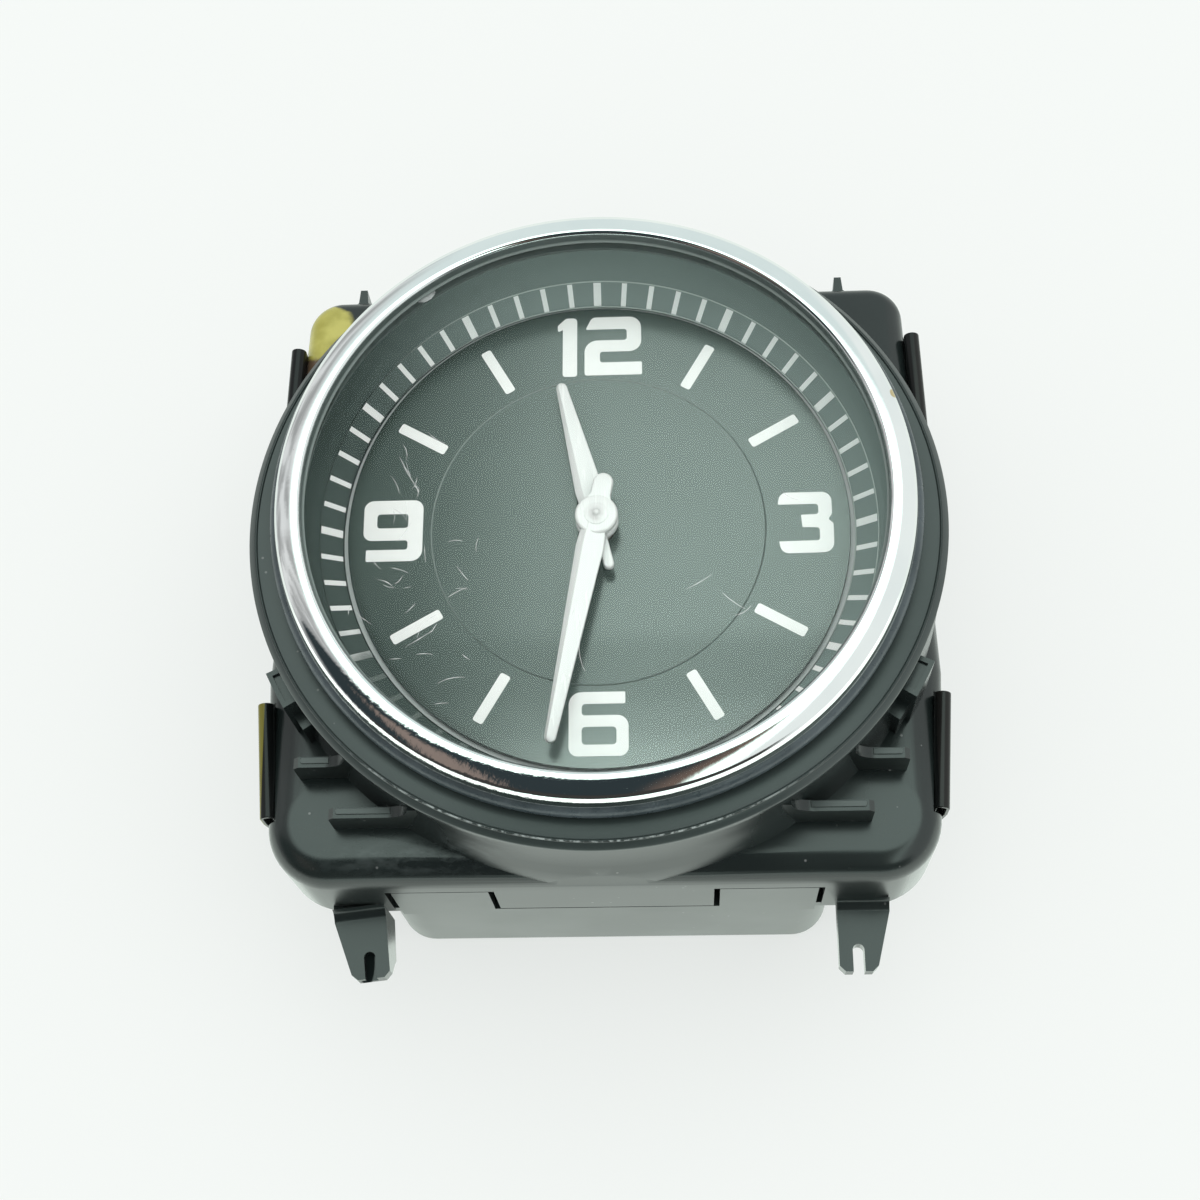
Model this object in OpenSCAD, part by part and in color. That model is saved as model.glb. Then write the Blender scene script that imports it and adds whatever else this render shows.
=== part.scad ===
// Car dashboard clock, lying on its back as it is shown.
// The dial faces +Z, 12 o'clock is towards +Y, and the origin is on the dial axis at the rear face.
// All sizes are millimetres.

/* [Lens and bezel] */
// Diameter of the clear lens
lens_d = 62.2; // [58:0.1:66]
// Thickness of the clear lens
lens_t = 1.6; // [1:0.1:2.2]
// Thickness of the soft ring under the lens
gasket_t = 0.4; // [0.2:0.1:0.8]
// Width of the bezel's lip over the lens
bezel_lip = 1.95; // [1.2:0.05:2.6]
// Radial thickness of the bezel's skirt outside the lens
bezel_skirt = 0.8; // [0.6:0.05:1.6]
// Height of the bezel from its seat to its crest
bezel_h = 2.4; // [2:0.1:3.4]
// Thickness of the bezel's lip above the lens
bezel_lip_t = 1.7; // [1.2:0.05:1.8]
// Height of the black bead between flange and bezel
bead_h = 2; // [1.4:0.1:3]
// How far the bead stands out past the bezel
bead_bulge = 0.65; // [0:0.05:0.9]

/* [Drum and flange] */
// Width of the flange's flat ring outside the bezel
flange_ledge = 3.4; // [2:0.1:5]
// Thickness of the flange
flange_t = 1.3; // [1:0.1:2]
// Height and width of the slope at the flange's outer edge
flange_slope = 0.6; // [0.3:0.05:0.9]
// Tilt of the flange, which falls towards 12 o'clock
flange_tilt = 3.2; // [2:0.1:4]
// How far the flange stands out past the drum's upper end
flange_overhang = 0.55; // [0.4:0.05:1.5]
// How much the drum's radius grows down to the front plate
drum_flare = 0.9; // [0.4:0.05:1.1]
// Height of the drum from the front plate to the flange
drum_h = 10.2; // [8:0.1:12]
// Wall of the drum on each side of its hollow core
drum_wall = 1.3; // [1:0.1:1.5]
// Clearance between the drum's bore and what drops into it
seat_gap = 0.2; // [0.1:0.05:0.4]

/* [Square body] */
// Width of the body at its widest place
body_w = 71.2; // [69:0.1:80]
// Width of the body at its lower end
body_low_w = 68.6; // [66:0.1:78]
// Width of the body at its upper end
body_top_w = 69.2; // [66:0.1:78]
// Distance of the widest place below the centre
wide_y = 13; // [8:0.1:16]
// Distance of the bottom wall below the centre
body_low = 35.65; // [34:0.05:40]
// Distance of the top wall above the centre
body_top = 36; // [34:0.05:40]
// Depth of the front shell from its open edge to the front plate
body_h = 12.2; // [10:0.1:16]
// Radius of the body's lower corners in plan
corner_r = 6.6; // [4.6:0.1:9]
// Radius of the body's upper corners in plan
corner_top_r = 4; // [3.2:0.1:6.4]
// Rounding of the front edges
edge_r = 2.8; // [1:0.1:3.1]
// Rounding of the front edge at the upper end
edge_top_r = 2; // [1:0.1:2.8]
// Wall thickness of both shells
wall = 2; // [1.4:0.1:2.3]
// How far the front plate falls from its lower to its upper corners
plate_fall = 6.8; // [4:0.1:7.5]

/* [Ribs, tabs and legs] */
// Height of the gusset ribs above the front plate
rib_h = 4; // [2:0.1:6]
// Radius of the curve from each rib up to the drum
rib_rise = 2.4; // [1:0.1:4]
// Thickness of the gusset ribs
rib_t = 1.1; // [0.8:0.1:2]
// Outer end of the upper rib pair, from the centre line
rib_upper_x = 30.8; // [28:0.1:33]
// Outer end of the lower rib pair, from the centre line
rib_lower_x = 27; // [24:0.1:30]
// Distance of the upper rib pair below the centre
rib_upper_y = 24.2; // [22:0.1:26]
// Distance of the lower rib pair below the centre
rib_lower_y = 29.5; // [28:0.1:31]
// Height of the two lugs beside the drum above the front plate
lug_h = 7; // [4:0.1:8]
// How far the lugs stand out past the drum
lug_out = 2; // [1.5:0.1:3]
// Angle of each lug below the 3 to 9 line
lug_angle = 28.5; // [26:0.5:33]
// Angle that each lug spans
lug_span = 6.5; // [6:0.5:10]
// Angle that the low step below each lug spans
lug_step_span = 3; // [2:0.5:4]
// Height of the low step above the front plate
lug_step_h = 4; // [2:0.1:5]
// Depth of the sunk panel in each lug's top
lug_panel = 0.4; // [0.2:0.1:1]
// Thickness of the forked legs
leg_t = 1.8; // [1.2:0.1:2.4]
// How far the legs stand out past the bottom wall
leg_len = 7.4; // [5:0.1:10]
// Inner edge of the left leg, from the centre line
leg_left_x = 23.2; // [21:0.1:26]
// Inner edge of the right leg, from the centre line
leg_right_x = 23.9; // [21:0.1:26]
// Inward lean of the left leg
leg_left_lean = 6.5; // [0:0.5:8]
// Width of each leg at its root
leg_root_w = 5.4; // [4.5:0.1:7]
// Width of each leg at its tip
leg_tip_w = 4; // [3.4:0.1:6]
// Depth of the stiffening rib behind the left leg
leg_rib_h = 5; // [3:0.1:6]
// Thickness of the web behind the left leg's slot
leg_web_t = 0.5; // [0.3:0.1:1]
// Width of the slot in each leg
fork_w = 1.2; // [0.8:0.1:1.6]
// Depth of the slot in each leg
fork_l = 2.8; // [1.5:0.1:4]
// Fillet where each leg meets the wall
leg_fillet = 1.2; // [0.6:0.1:2]
// Chamfer at the tips of the legs
leg_chamfer = 0.6; // [0.2:0.1:0.9]
// How far the guide ribs stand out past the top wall
guide_rib_out = 2.2; // [1:0.1:3]
// Thickness of the guide ribs at their crest
guide_rib_t = 0.8; // [0.6:0.1:1.6]
// Distance of the outer left guide rib from the centre line
guide_rib_left_x = 28.5; // [24:0.1:28.8]
// Distance of the outer right guide rib from the centre line
guide_rib_right_x = 27.5; // [24:0.1:28.8]
// Distance between the guide ribs of a pair
guide_rib_pitch = 5.2; // [3:0.1:8]

/* [Rear cover] */
// Depth of the rear cover behind the front shell
cover_h = 16; // [14:0.1:20]
// Width of the rear cover's box
cover_w = 47.8; // [46:0.1:56]
// Distance of the box's upper end above the centre
cover_top = 32; // [31.4:0.1:34]
// Thickness of the cover's lid around the box
cover_lid_t = 1.5; // [1:0.1:2.5]
// Corner radius of the box in plan
cover_corner_r = 4; // [3:0.1:6]
// Width of the sunk label field in the rear face
label_w = 36; // [24:0.5:38]
// Height of the sunk label field
label_d = 22; // [14:0.5:24]
// Depth of the label field and of the round marks
label_t = 0.4; // [0.2:0.1:0.6]
// Centre of the label field below the dial's centre
label_y = 12; // [10:0.5:14]
// Rounding of the box's rear edge
cover_edge_r = 1.4; // [0.6:0.1:2]
// Width of each snap tongue in the bottom wall
tongue_w = 10; // [7:0.1:11]
// Inner edge of each snap tongue, from the centre line
tongue_x = 11.8; // [10:0.1:13]
// Length of the snap tongues above the open edge
tongue_h = 7.6; // [5:0.1:8.5]
// Width and depth of the seam line between the snap tongues
seam_w = 0.25; // [0.15:0.05:0.4]
// Gap beside the snap tongues
tongue_gap = 0.6; // [0.3:0.05:0.8]

/* [Connector] */
// Width of the plug socket
socket_w = 16; // [12:0.5:20]
// Height of the plug socket
socket_d = 8.4; // [7:0.2:10]
// Centre of the plug socket above the dial's centre
socket_y = 14; // [10:0.5:18]
// Depth of the plug socket down to the contact tips
socket_depth = 4.4; // [4.3:0.1:5]
// Number of contacts in each of the two rows
contact_count = 5; // [3:1:6]
// Pitch of the contacts
contact_pitch = 2.5; // [2:0.1:2.6]
// Side of a square contact
contact_w = 0.64; // [0.4:0.02:0.8]

/* [Dial] */
// Depth of the dial face below the flange's front face
dial_drop = 5.5; // [5:0.1:7]
// Diameter of the dial
dial_d = 52; // [48:0.1:52.4]
// Thickness of the dial
dial_t = 0.8; // [0.5:0.1:1.2]
// Radius of the hole in the dial
dial_hole_r = 2.4; // [2.2:0.1:2.8]
// Inner radius of the sloped minute ring
ring_in_r = 26.5; // [26.3:0.05:27]
// Radius where the slope of the minute ring turns into its wall
ring_knee_r = 28.75; // [28:0.05:28.9]
// Height of that turn above the dial face
ring_knee_h = 1.1; // [0.8:0.1:2]
// Wall of the minute ring
ring_wall = 1.1; // [0.8:0.1:1.6]
// Thickness of the light guide under the dial
guide_t = 2.8; // [2:0.1:4]
// Radius of the light guide's four light pipes
pipe_r = 1.5; // [1.2:0.1:1.6]
// Distance of the light pipes from the 12 to 6 line
pipe_x = 18.5; // [17.5:0.1:19]
// Distance of the light pipes from the 3 to 9 line
pipe_y = 19; // [18:0.1:19.4]

/* [Hands] */
// Angle of the minute hand, clockwise from 12
minute_angle = 190.9; // [0:0.1:360]
// Angle of the hour hand, clockwise from 12
hour_angle = 346.4; // [0:0.1:360]
// Length of the minute hand from the axis
minute_len = 24.6; // [20:0.1:25.5]
// Length of the hour hand from the axis
hour_len = 16; // [12:0.1:18]
// Width of both hands near the hub
hand_w = 2.7; // [2:0.1:3.4]
// Width of both hands at the tip
hand_tip_w = 1.1; // [0.6:0.05:1.4]
// Length of the minute hand's tail
minute_tail = 4.6; // [3:0.1:6]
// Width of the minute hand's tail
minute_tail_w = 2.2; // [1.4:0.1:2.6]
// Length of the hour hand's tail
hour_tail = 5.6; // [4:0.1:7]
// Width of the hour hand's tail
hour_tail_w = 1.1; // [0.8:0.1:2]
// Radius of the hands' hubs
hub_r = 2.2; // [2:0.1:2.6]
// Thickness of the hands at their edges
hand_t = 0.35; // [0.25:0.05:0.5]
// Height of the ridge above the edges
hand_ridge = 0.4; // [0.2:0.05:0.45]
// How far the ridge lies off the hand's middle
ridge_shift = 0.35; // [0:0.05:0.5]
// Height of the hour hand above the dial
hour_hand_z = 1.5; // [1.2:0.1:2]
// Gap between the two hands
hand_gap = 0.6; // [0.4:0.1:1]
// Height of the round cap on the hands
cap_h = 0.5; // [0.3:0.1:0.8]
// Radius of the round cap
cap_r = 1.2; // [1:0.1:1.6]

/* [Gear train] */
// Module of the driving gears
gear_m = 0.4; // [0.36:0.01:0.42]
// Play between meshing teeth at the pitch circle
backlash = 0.14; // [0.1:0.01:0.2]
// Thickness of the wheels
wheel_t = 0.9; // [0.6:0.1:1]
// Free height above and below each pinion
layer_gap = 0.3; // [0.25:0.05:0.4]
// Radius of the minute arbor
arbor_r = 0.75; // [0.6:0.05:0.8]
// Wall of the hour wheel's pipe
pipe_wall = 0.8; // [0.6:0.05:0.9]
// Radial clearance of the turning fits
run_gap = 0.05; // [0.03:0.01:0.08]
// Radius of the fixed studs and of the minute arbor's pivot
stud_r = 0.6; // [0.5:0.05:0.65]
// Thickness of the movement's front plate
plate_t = 1.4; // [1:0.1:2]
// Thickness of the movement's rear bridge
bridge_t = 1.4; // [1:0.1:2]
// Radius of the rear bridge
bridge_r = 20; // [19.6:0.1:20.8]
// Radius of the circle of the bridge's pillars
pillar_ring_r = 17.5; // [17.3:0.1:18]
// Radius of the pillars
pillar_r = 1.6; // [1.4:0.05:1.65]
// Wall of the brass bush in the front plate
bush_wall = 0.65; // [0.5:0.05:0.9]

/* [Circuit board] */
// Gap between the circuit board and the side walls of its box
board_gap = 0.9; // [0.5:0.1:1.5]
// Gap between the circuit board and the upper wall of its box
board_end_gap = 1; // [0.5:0.1:1.5]
// Thickness of the circuit board
board_t = 1.6; // [1:0.1:2]
// Height of the board's posts above the cover's floor
board_post_h = 7; // [6.8:0.1:7.4]
// Distance of the board's posts from its side edges
board_hole_x = 4; // [3.4:0.1:4.6]
// Distance of the board's posts from its upper and lower edges
board_hole_y = 3; // [2:0.1:4]
// Radius of the board's posts
board_post_r = 2.4; // [2:0.1:2.8]
// Radius of the screws' shanks
screw_r = 0.8; // [0.6:0.05:0.9]
// Radius of the screws' heads
screw_head_r = 1.5; // [1.3:0.1:1.55]
// Height of the screws' heads
screw_head_h = 0.9; // [0.6:0.1:0.9]
// Width and depth of the stepper motor's case
motor_w = 14; // [12:0.5:15]

/* [Side clips] */
// Length of each side clip along the wall
clip_len = 12.4; // [10:0.1:14]
// Distance of the clips' middles from the body's upper and lower ends
clip_end = 13.35; // [12:0.05:15]
// Overall thickness of the folded clip
clip_fold = 1.7; // [1.65:0.05:2]
// How far the lower clips stand out past the body's side
clip_out = 0.65; // [0.4:0.05:1]
// How far the upper clips stand out past the body's side
clip_upper_out = 1.5; // [0.8:0.05:1.6]
// Thickness of the clip's sheet metal
clip_sheet = 0.4; // [0.3:0.05:0.5]
// Height of each clip
clip_h = 5.4; // [4:0.1:6]
// Height of the front plate above the clips' crowns
clip_sink = 0.3; // [0.1:0.1:1]
// Gap between the ends of a clip and its recess
clip_end_gap = 0.5; // [0.3:0.1:1]

/* [Hidden] */
$fn = 96;
eps = 0.01;
// Segments of the round corners inside a hull
hull_fn = 48;

// Heights above the rear face
z_split = cover_h;
z_plate = z_split + body_h;
z_plate_top = z_plate - plate_fall;
z_flange = z_plate + drum_h;
z_seat = z_flange + flange_t;
z_bezel = z_seat + bead_h;
z_top = z_bezel + bezel_h;
z_lip = z_top - bezel_lip_t;
z_lens = z_lip - lens_t;
z_ring_top = z_lens - gasket_t;
z_dial = z_seat - dial_drop;
z_guide_top = z_dial - dial_t;
z_guide = z_guide_top - guide_t;
z_mp = z_guide - plate_t;
ledge_t = wall;

// Radii of the round stack
lens_r = lens_d / 2;
bore_r = lens_r + seat_gap;
bezel_in_r = lens_r - bezel_lip;
bezel_out_r = bore_r + bezel_skirt;
bead_out_r = bezel_out_r + bead_bulge;
flange_r = bezel_out_r + flange_ledge;
drum_r = flange_r - flange_overhang;
drum_root_r = drum_r + drum_flare;
// The drum's root stays this far inside the body's outline
drum_inset = 0.05;
ledge_r = bore_r - 2.5;

// Gear sizes: teeth, pitch radii, places and heights
cannon_n = 12;
motion_n = 36;
motion_pinion_n = 10;
hour_n = 40;
centre_n = 40;
reduction_pinion_n = 10;
reduction_n = 32;
motor_n = 10;
tooth_pressure = 25;
tooth_add = 0.75;
tooth_ded = 1.05;
motion_dist = gear_m * (cannon_n + motion_n) / 2;
hour_m = 2 * motion_dist / (motion_pinion_n + hour_n);
reduction_dist = gear_m * (centre_n + reduction_pinion_n) / 2;
motor_dist = gear_m * (reduction_n + motor_n) / 2;
motion_dir = 60;
reduction_dir = 215;
motor_dir = 200;
motion_at = motion_dist * [cos(motion_dir), sin(motion_dir)];
reduction_at = reduction_dist * [cos(reduction_dir), sin(reduction_dir)];
motor_at = reduction_at + motor_dist * [cos(motor_dir), sin(motor_dir)];
plate_gap = 2 * layer_gap;
z_hour_top = z_mp - plate_gap - layer_gap / 2;
z_hour = z_hour_top - wheel_t;
z_cannon_top = z_hour - layer_gap;
cannon_h = wheel_t + 2 * layer_gap;
z_cannon = z_cannon_top - cannon_h;
z_motion = z_cannon + layer_gap;
z_motion_top = z_motion + wheel_t;
z_reduction_top = z_cannon - plate_gap;
z_reduction = z_reduction_top - wheel_t;
z_centre_top = z_reduction - 2 * layer_gap;
z_centre = z_centre_top - wheel_t;
z_bridge_top = z_centre - 3 * layer_gap;
z_bridge = z_bridge_top - bridge_t;
collar_h = 0.4;
boss_r = 1.5;
motor_boss_r = 2.4;
shaft_depth = 3;
hole_gap = 0.02;
bridge_at = [-5, -1];
pillar_dirs = [90, 210, 330];
pipe_in_r = arbor_r + run_gap;
pipe_out_r = pipe_in_r + pipe_wall;
bush_in_r = pipe_out_r + run_gap;
bush_out_r = bush_in_r + bush_wall;

// Hand heights
z_hour_hand = z_dial + hour_hand_z;
hand_h = hand_t + hand_ridge;
z_minute_hand = z_hour_hand + hand_h + hand_gap;
z_arbor_top = z_minute_hand + hand_h;

// Circuit board and connector heights
z_board = wall + board_post_h;
z_board_top = z_board + board_t;
header_t = 2.4;
board_w = cover_w - 2 * wall - 2 * board_gap;
board_d = 2 * (cover_top - wall - board_end_gap);
board_post_x = board_w / 2 - board_hole_x;
board_post_y = board_d / 2 - board_hole_y;
z_header = z_board - header_t;
led_h = 1.2;
led_gap = 0.3;
chip_at = [6, -18];
can_at = [12, 6];

// Height of the front plate at y: level at its lower end, then falling to its upper edge
fall_y0 = -body_low + 2 * corner_r - edge_r;
fall_y1 = body_top - edge_top_r;
function plate_z(y) = z_plate - plate_fall * max(0, y - fall_y0) / (fall_y1 - fall_y0);

// Corner centres of the body from its lower to its upper end, with the radius of each
corner_at = [[body_low_w / 2 - corner_r, corner_r - body_low], [body_w / 2 - corner_r, -wide_y],
  [body_top_w / 2 - corner_top_r, body_top - corner_top_r]];
corner_rs = [corner_r, corner_r, corner_top_r];
// Lean of the lower and of the upper part of the side walls, and a side wall's x at y
function lean_of(i) = let (run = corner_at[i + 1] - corner_at[i])
  asin((corner_rs[i] - corner_rs[i + 1]) / norm(run)) - atan(run[0] / run[1]);
side_lean = [lean_of(0), lean_of(1)];
function wall_x(y) = let (i = y < -wide_y ? 0 : 1)
  corner_at[i][0] + (corner_rs[i] - (y - corner_at[i][1]) * sin(side_lean[i])) / cos(side_lean[i]);

// Rounded rectangle centred on the origin
module rounded_rect(w, d, r) {
  square([w - 2 * r, d], center = true);
  square([w, d - 2 * r], center = true);
  for (sx = [-1, 1], sy = [-1, 1]) translate([sx * (w / 2 - r), sy * (d / 2 - r)]) circle(r);
}

// Ring between two radii and two heights
module ring(r_out, r_in, z0, z1) {
  translate([0, 0, z0]) difference() {
    cylinder(r = r_out, h = z1 - z0);
    translate([0, 0, -eps]) cylinder(r = r_in, h = z1 - z0 + 2 * eps);
  }
}

// Post with one rounded end edge, the corner piece of a soft-edged block
module soft_post(r, h, edge) {
  rotate_extrude($fn = hull_fn) {
    square([r, h - edge]);
    square([r - edge, h]);
    intersection() {
      translate([r - edge, h - edge]) circle(edge, $fn = hull_fn);
      square([r, h]);
    }
  }
}

// Block with the body's outline, drawn in by the inset, with a falling top and rounded edges
module body_block(inset, edge, edge_top) {
  tops = [body_h, plate_z(corner_r - wide_y) - z_split, body_h - plate_fall];
  edges = [edge, edge, edge_top];
  hull() for (sx = [-1, 1], i = [0 : 2]) translate([sx * corner_at[i][0], corner_at[i][1], 0])
    soft_post(corner_rs[i] - inset, tops[i] - inset, edges[i]);
}

// Flat outline of the body, drawn in by the inset
module body_plan(inset) {
  rs = [for (r = corner_rs) r - inset];
  lean = [for (a = side_lean) [cos(a), sin(a)]];
  half = [corner_at[0] - [0, rs[0]], corner_at[0] + rs[0] * lean[0], corner_at[1] + rs[1] * lean[0],
    corner_at[1] + rs[1] * lean[1], corner_at[2] + rs[2] * lean[1], corner_at[2] + [0, rs[2]]];
  for (sx = [-1, 1], i = [0 : 2]) translate([sx * corner_at[i][0], corner_at[i][1]]) circle(rs[i]);
  polygon(concat(half, [for (i = [len(half) - 1 : -1 : 0]) [-half[i][0], half[i][1]]]));
}

// Part of a ring, from angle0 over a span
module sector(r0, r1, angle0, span, z0, z1) {
  rotate([0, 0, angle0]) rotate_extrude(angle = span)
    translate([r0, z0]) square([r1 - r0, z1 - z0]);
}

// Place of a side clip: its inner face at x = 0, its middle at y = 0, its crown at z = 0
module clip_place(side, up) {
  y = up > 0 ? body_top - clip_end : clip_end - body_low;
  out = up > 0 ? clip_upper_out : clip_out;
  mirror([side < 0 ? 1 : 0, 0, 0]) translate([wall_x(y) + out - clip_fold, y, plate_z(y) - clip_sink])
    rotate(side_lean[up > 0 ? 1 : 0]) children();
}

// Outline of a leg, root at y = 0 and tip towards -Y, inner edge at x = 0
module leg_outline() {
  polygon([[0, eps], [leg_root_w, eps], [leg_root_w, -leg_fillet], [leg_tip_w, -leg_len + leg_chamfer],
    [leg_tip_w - leg_chamfer, -leg_len], [leg_chamfer, -leg_len], [0, -leg_len + leg_chamfer]]);
}

// Outline of a leg with its slot
module fork_outline() {
  fork_x = leg_tip_w / 2;
  difference() {
    leg_outline();
    translate([fork_x, -leg_len + fork_l - fork_w / 2]) circle(fork_w / 2);
    translate([fork_x - fork_w / 2, -leg_len - eps]) square([fork_w, fork_l - fork_w / 2 + eps]);
  }
}

// Forked leg on the bottom wall, with its root fillet; the left leg has a web and a rib behind it
module leg(side) {
  z_leg = z_split + wall - leg_t;
  leg_x = side < 0 ? leg_left_x : leg_right_x;
  lean = side < 0 ? leg_left_lean : 0;
  rib_end = -leg_len * 0.64;
  rib_low = leg_rib_h * 0.75;
  rib_cut = leg_rib_h * 0.5;
  mirror([side < 0 ? 1 : 0, 0, 0]) translate([leg_x, -body_low, z_leg]) rotate(-lean) {
    linear_extrude(leg_t) fork_outline();
    translate([0, eps, leg_t]) rotate([90, 0, 90]) linear_extrude(leg_root_w) difference() {
      translate([-leg_fillet, -eps]) square([leg_fillet, leg_fillet]);
      translate([-leg_fillet, leg_fillet]) circle(leg_fillet);
    }
    cube([leg_root_w, wall / 2, leg_t]);
    if (side < 0) {
      linear_extrude(leg_web_t) leg_outline();
      rotate([90, 0, 90]) linear_extrude(leg_fillet) polygon([[-eps, eps], [-eps, -leg_rib_h],
        [rib_end, -rib_low], [rib_end - leg_chamfer, -rib_cut],
        [-leg_len + leg_chamfer, 0], [-leg_len + leg_chamfer, eps]]);
    }
  }
}

// Gusset rib that runs out to the end x, with a sloped outer end and a curve up to the drum
module rib(side, x_end, y) {
  x_in = sqrt(pow(drum_r - drum_wall / 2, 2) - y * y);
  x_drum = sqrt(pow(drum_r, 2) - y * y);
  steps = 8;
  slope = rib_t / 2;
  z0 = plate_z(-y) - wall / 2;
  h = z_plate + rib_h - z0;
  rise = [for (i = [0 : steps]) let (a = 90 - 90 * i / steps)
    [x_drum + rib_rise * (1 - cos(a)), h + rib_rise * (1 - sin(a))]];
  mirror([side < 0 ? 1 : 0, 0, 0]) translate([0, -y + rib_t / 2, z0])
    rotate([90, 0, 0]) linear_extrude(rib_t) polygon(concat(
      [[x_in, 0], [x_end, 0], [x_end, h - slope], [x_end - slope, h]], rise, [[x_in, h + rib_rise]]));
}

// Lug beside the drum with a sunk panel in its top, and a low step below it
module lug(side) {
  mid = side > 0 ? -lug_angle : 180 + lug_angle;
  // Angle by which the step runs under the lug
  lap = 1;
  step_start = side > 0 ? mid - lug_span / 2 - lug_step_span : mid + lug_span / 2 - lap;
  rim = 0.5;
  rim_angle = rim / drum_r * 180 / PI;
  y_high = -drum_r * sin(lug_angle - lug_span / 2);
  z_root = plate_z(y_high) - wall / 2;
  z_lug = z_plate + lug_h;
  difference() {
    sector(drum_r - drum_wall / 2, drum_r + lug_out, mid - lug_span / 2, lug_span, z_root, z_lug);
    sector(drum_r + rim, drum_r + lug_out - rim, mid - lug_span / 2 + rim_angle, lug_span - 2 * rim_angle,
      z_lug - lug_panel, z_lug + eps);
  }
  sector(drum_r - drum_wall / 2, drum_r + lug_out - rim, step_start, lug_step_span + lap, z_root,
    z_plate + lug_step_h);
}

function guide_x(side) = side < 0 ? guide_rib_left_x : guide_rib_right_x;

// Guide rib on the top wall, with a wider root
module guide_rib(x) {
  root = guide_rib_t * 0.6;
  translate([x, body_top - eps, z_split]) linear_extrude(z_plate_top - z_split - edge_top_r)
    polygon([[-guide_rib_t - root, -wall / 2], [guide_rib_t + root, -wall / 2], [guide_rib_t + root, 0],
      [guide_rib_t * 0.7, root], [guide_rib_t / 2, guide_rib_out], [-guide_rib_t / 2, guide_rib_out],
      [-guide_rib_t * 0.7, root], [-guide_rib_t - root, 0]]);
}

// Frame of the tilted flange: its flat ring lies at z = 0 and meets the bead's seat at 6 o'clock
module flange_frame() {
  translate([0, -bead_out_r, z_seat]) rotate([-flange_tilt, 0, 0]) translate([0, bead_out_r, 0]) children();
}

// Outer surface of the front shell before it is hollowed: body, drum, tilted flange and neck
module housing_solid() {
  translate([0, 0, z_split]) body_block(0, edge_r, edge_top_r);
  difference() {
    intersection() {
      union() {
        translate([0, 0, z_plate]) cylinder(r1 = drum_root_r, r2 = drum_r, h = drum_h / 2);
        translate([0, 0, z_plate]) cylinder(r = drum_r, h = z_seat - z_plate);
        translate([0, 0, z_plate_top - wall]) cylinder(r = drum_root_r, h = z_plate - z_plate_top + wall);
      }
      translate([0, 0, z_plate_top - wall]) linear_extrude(z_seat) body_plan(drum_inset);
    }
    flange_frame() translate([-2 * flange_r, -2 * flange_r, -flange_t / 2])
      cube([4 * flange_r, 4 * flange_r, drum_h]);
  }
  flange_frame() rotate_extrude() polygon([[0, -flange_t], [flange_r, -flange_t], [flange_r, -flange_slope],
    [flange_r - flange_slope, 0], [0, 0]]);
  translate([0, 0, z_plate]) cylinder(r = bezel_out_r, h = z_seat - z_plate);
}

// Hollow inside of the front shell
module housing_hollow() {
  z_core = z_seat - (flange_r + bead_out_r) * tan(flange_tilt) - flange_t - drum_wall;
  translate([0, 0, z_split - eps]) body_block(wall, wall / 3, wall / 3);
  translate([0, 0, z_split - eps]) cylinder(r = ledge_r, h = z_seat - z_split + 2 * eps);
  translate([0, 0, z_mp]) cylinder(r = bore_r, h = z_seat - z_mp + eps);
  translate([0, 0, z_split - eps]) cylinder(r = bore_r, h = z_mp - ledge_t - z_split + eps);
  ring(drum_r - drum_wall, bore_r + drum_wall, z_split, z_core);
}

module front_housing() {
  color([0.10, 0.11, 0.11]) {
    difference() {
      union() {
        housing_solid();
        for (side = [-1, 1]) {
          rib(side, rib_upper_x, rib_upper_y);
          rib(side, rib_lower_x, rib_lower_y);
          lug(side);
          guide_rib(side * guide_x(side));
          guide_rib(side * (guide_x(side) - guide_rib_pitch));
        }
      }
      housing_hollow();
      translate([-tongue_x, -body_low - eps, z_split - eps]) cube([2 * tongue_x, seam_w, seam_w]);
      for (side = [-1, 1]) {
        for (up = [-1, 1])
          clip_place(side, up) translate([0, -clip_len / 2 - clip_end_gap, -clip_h - clip_end_gap])
            cube([2 * wall, clip_len + 2 * clip_end_gap, clip_h + clip_end_gap + clip_sink + wall]);
        translate([side * (tongue_x + tongue_w / 2) - tongue_w / 2 - tongue_gap,
          -body_low - eps, z_split - eps])
          cube([tongue_w + 2 * tongue_gap, wall + 2 * eps, tongue_h + tongue_gap / 3]);
      }
    }
    leg(1);
    leg(-1);
  }
}

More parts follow.
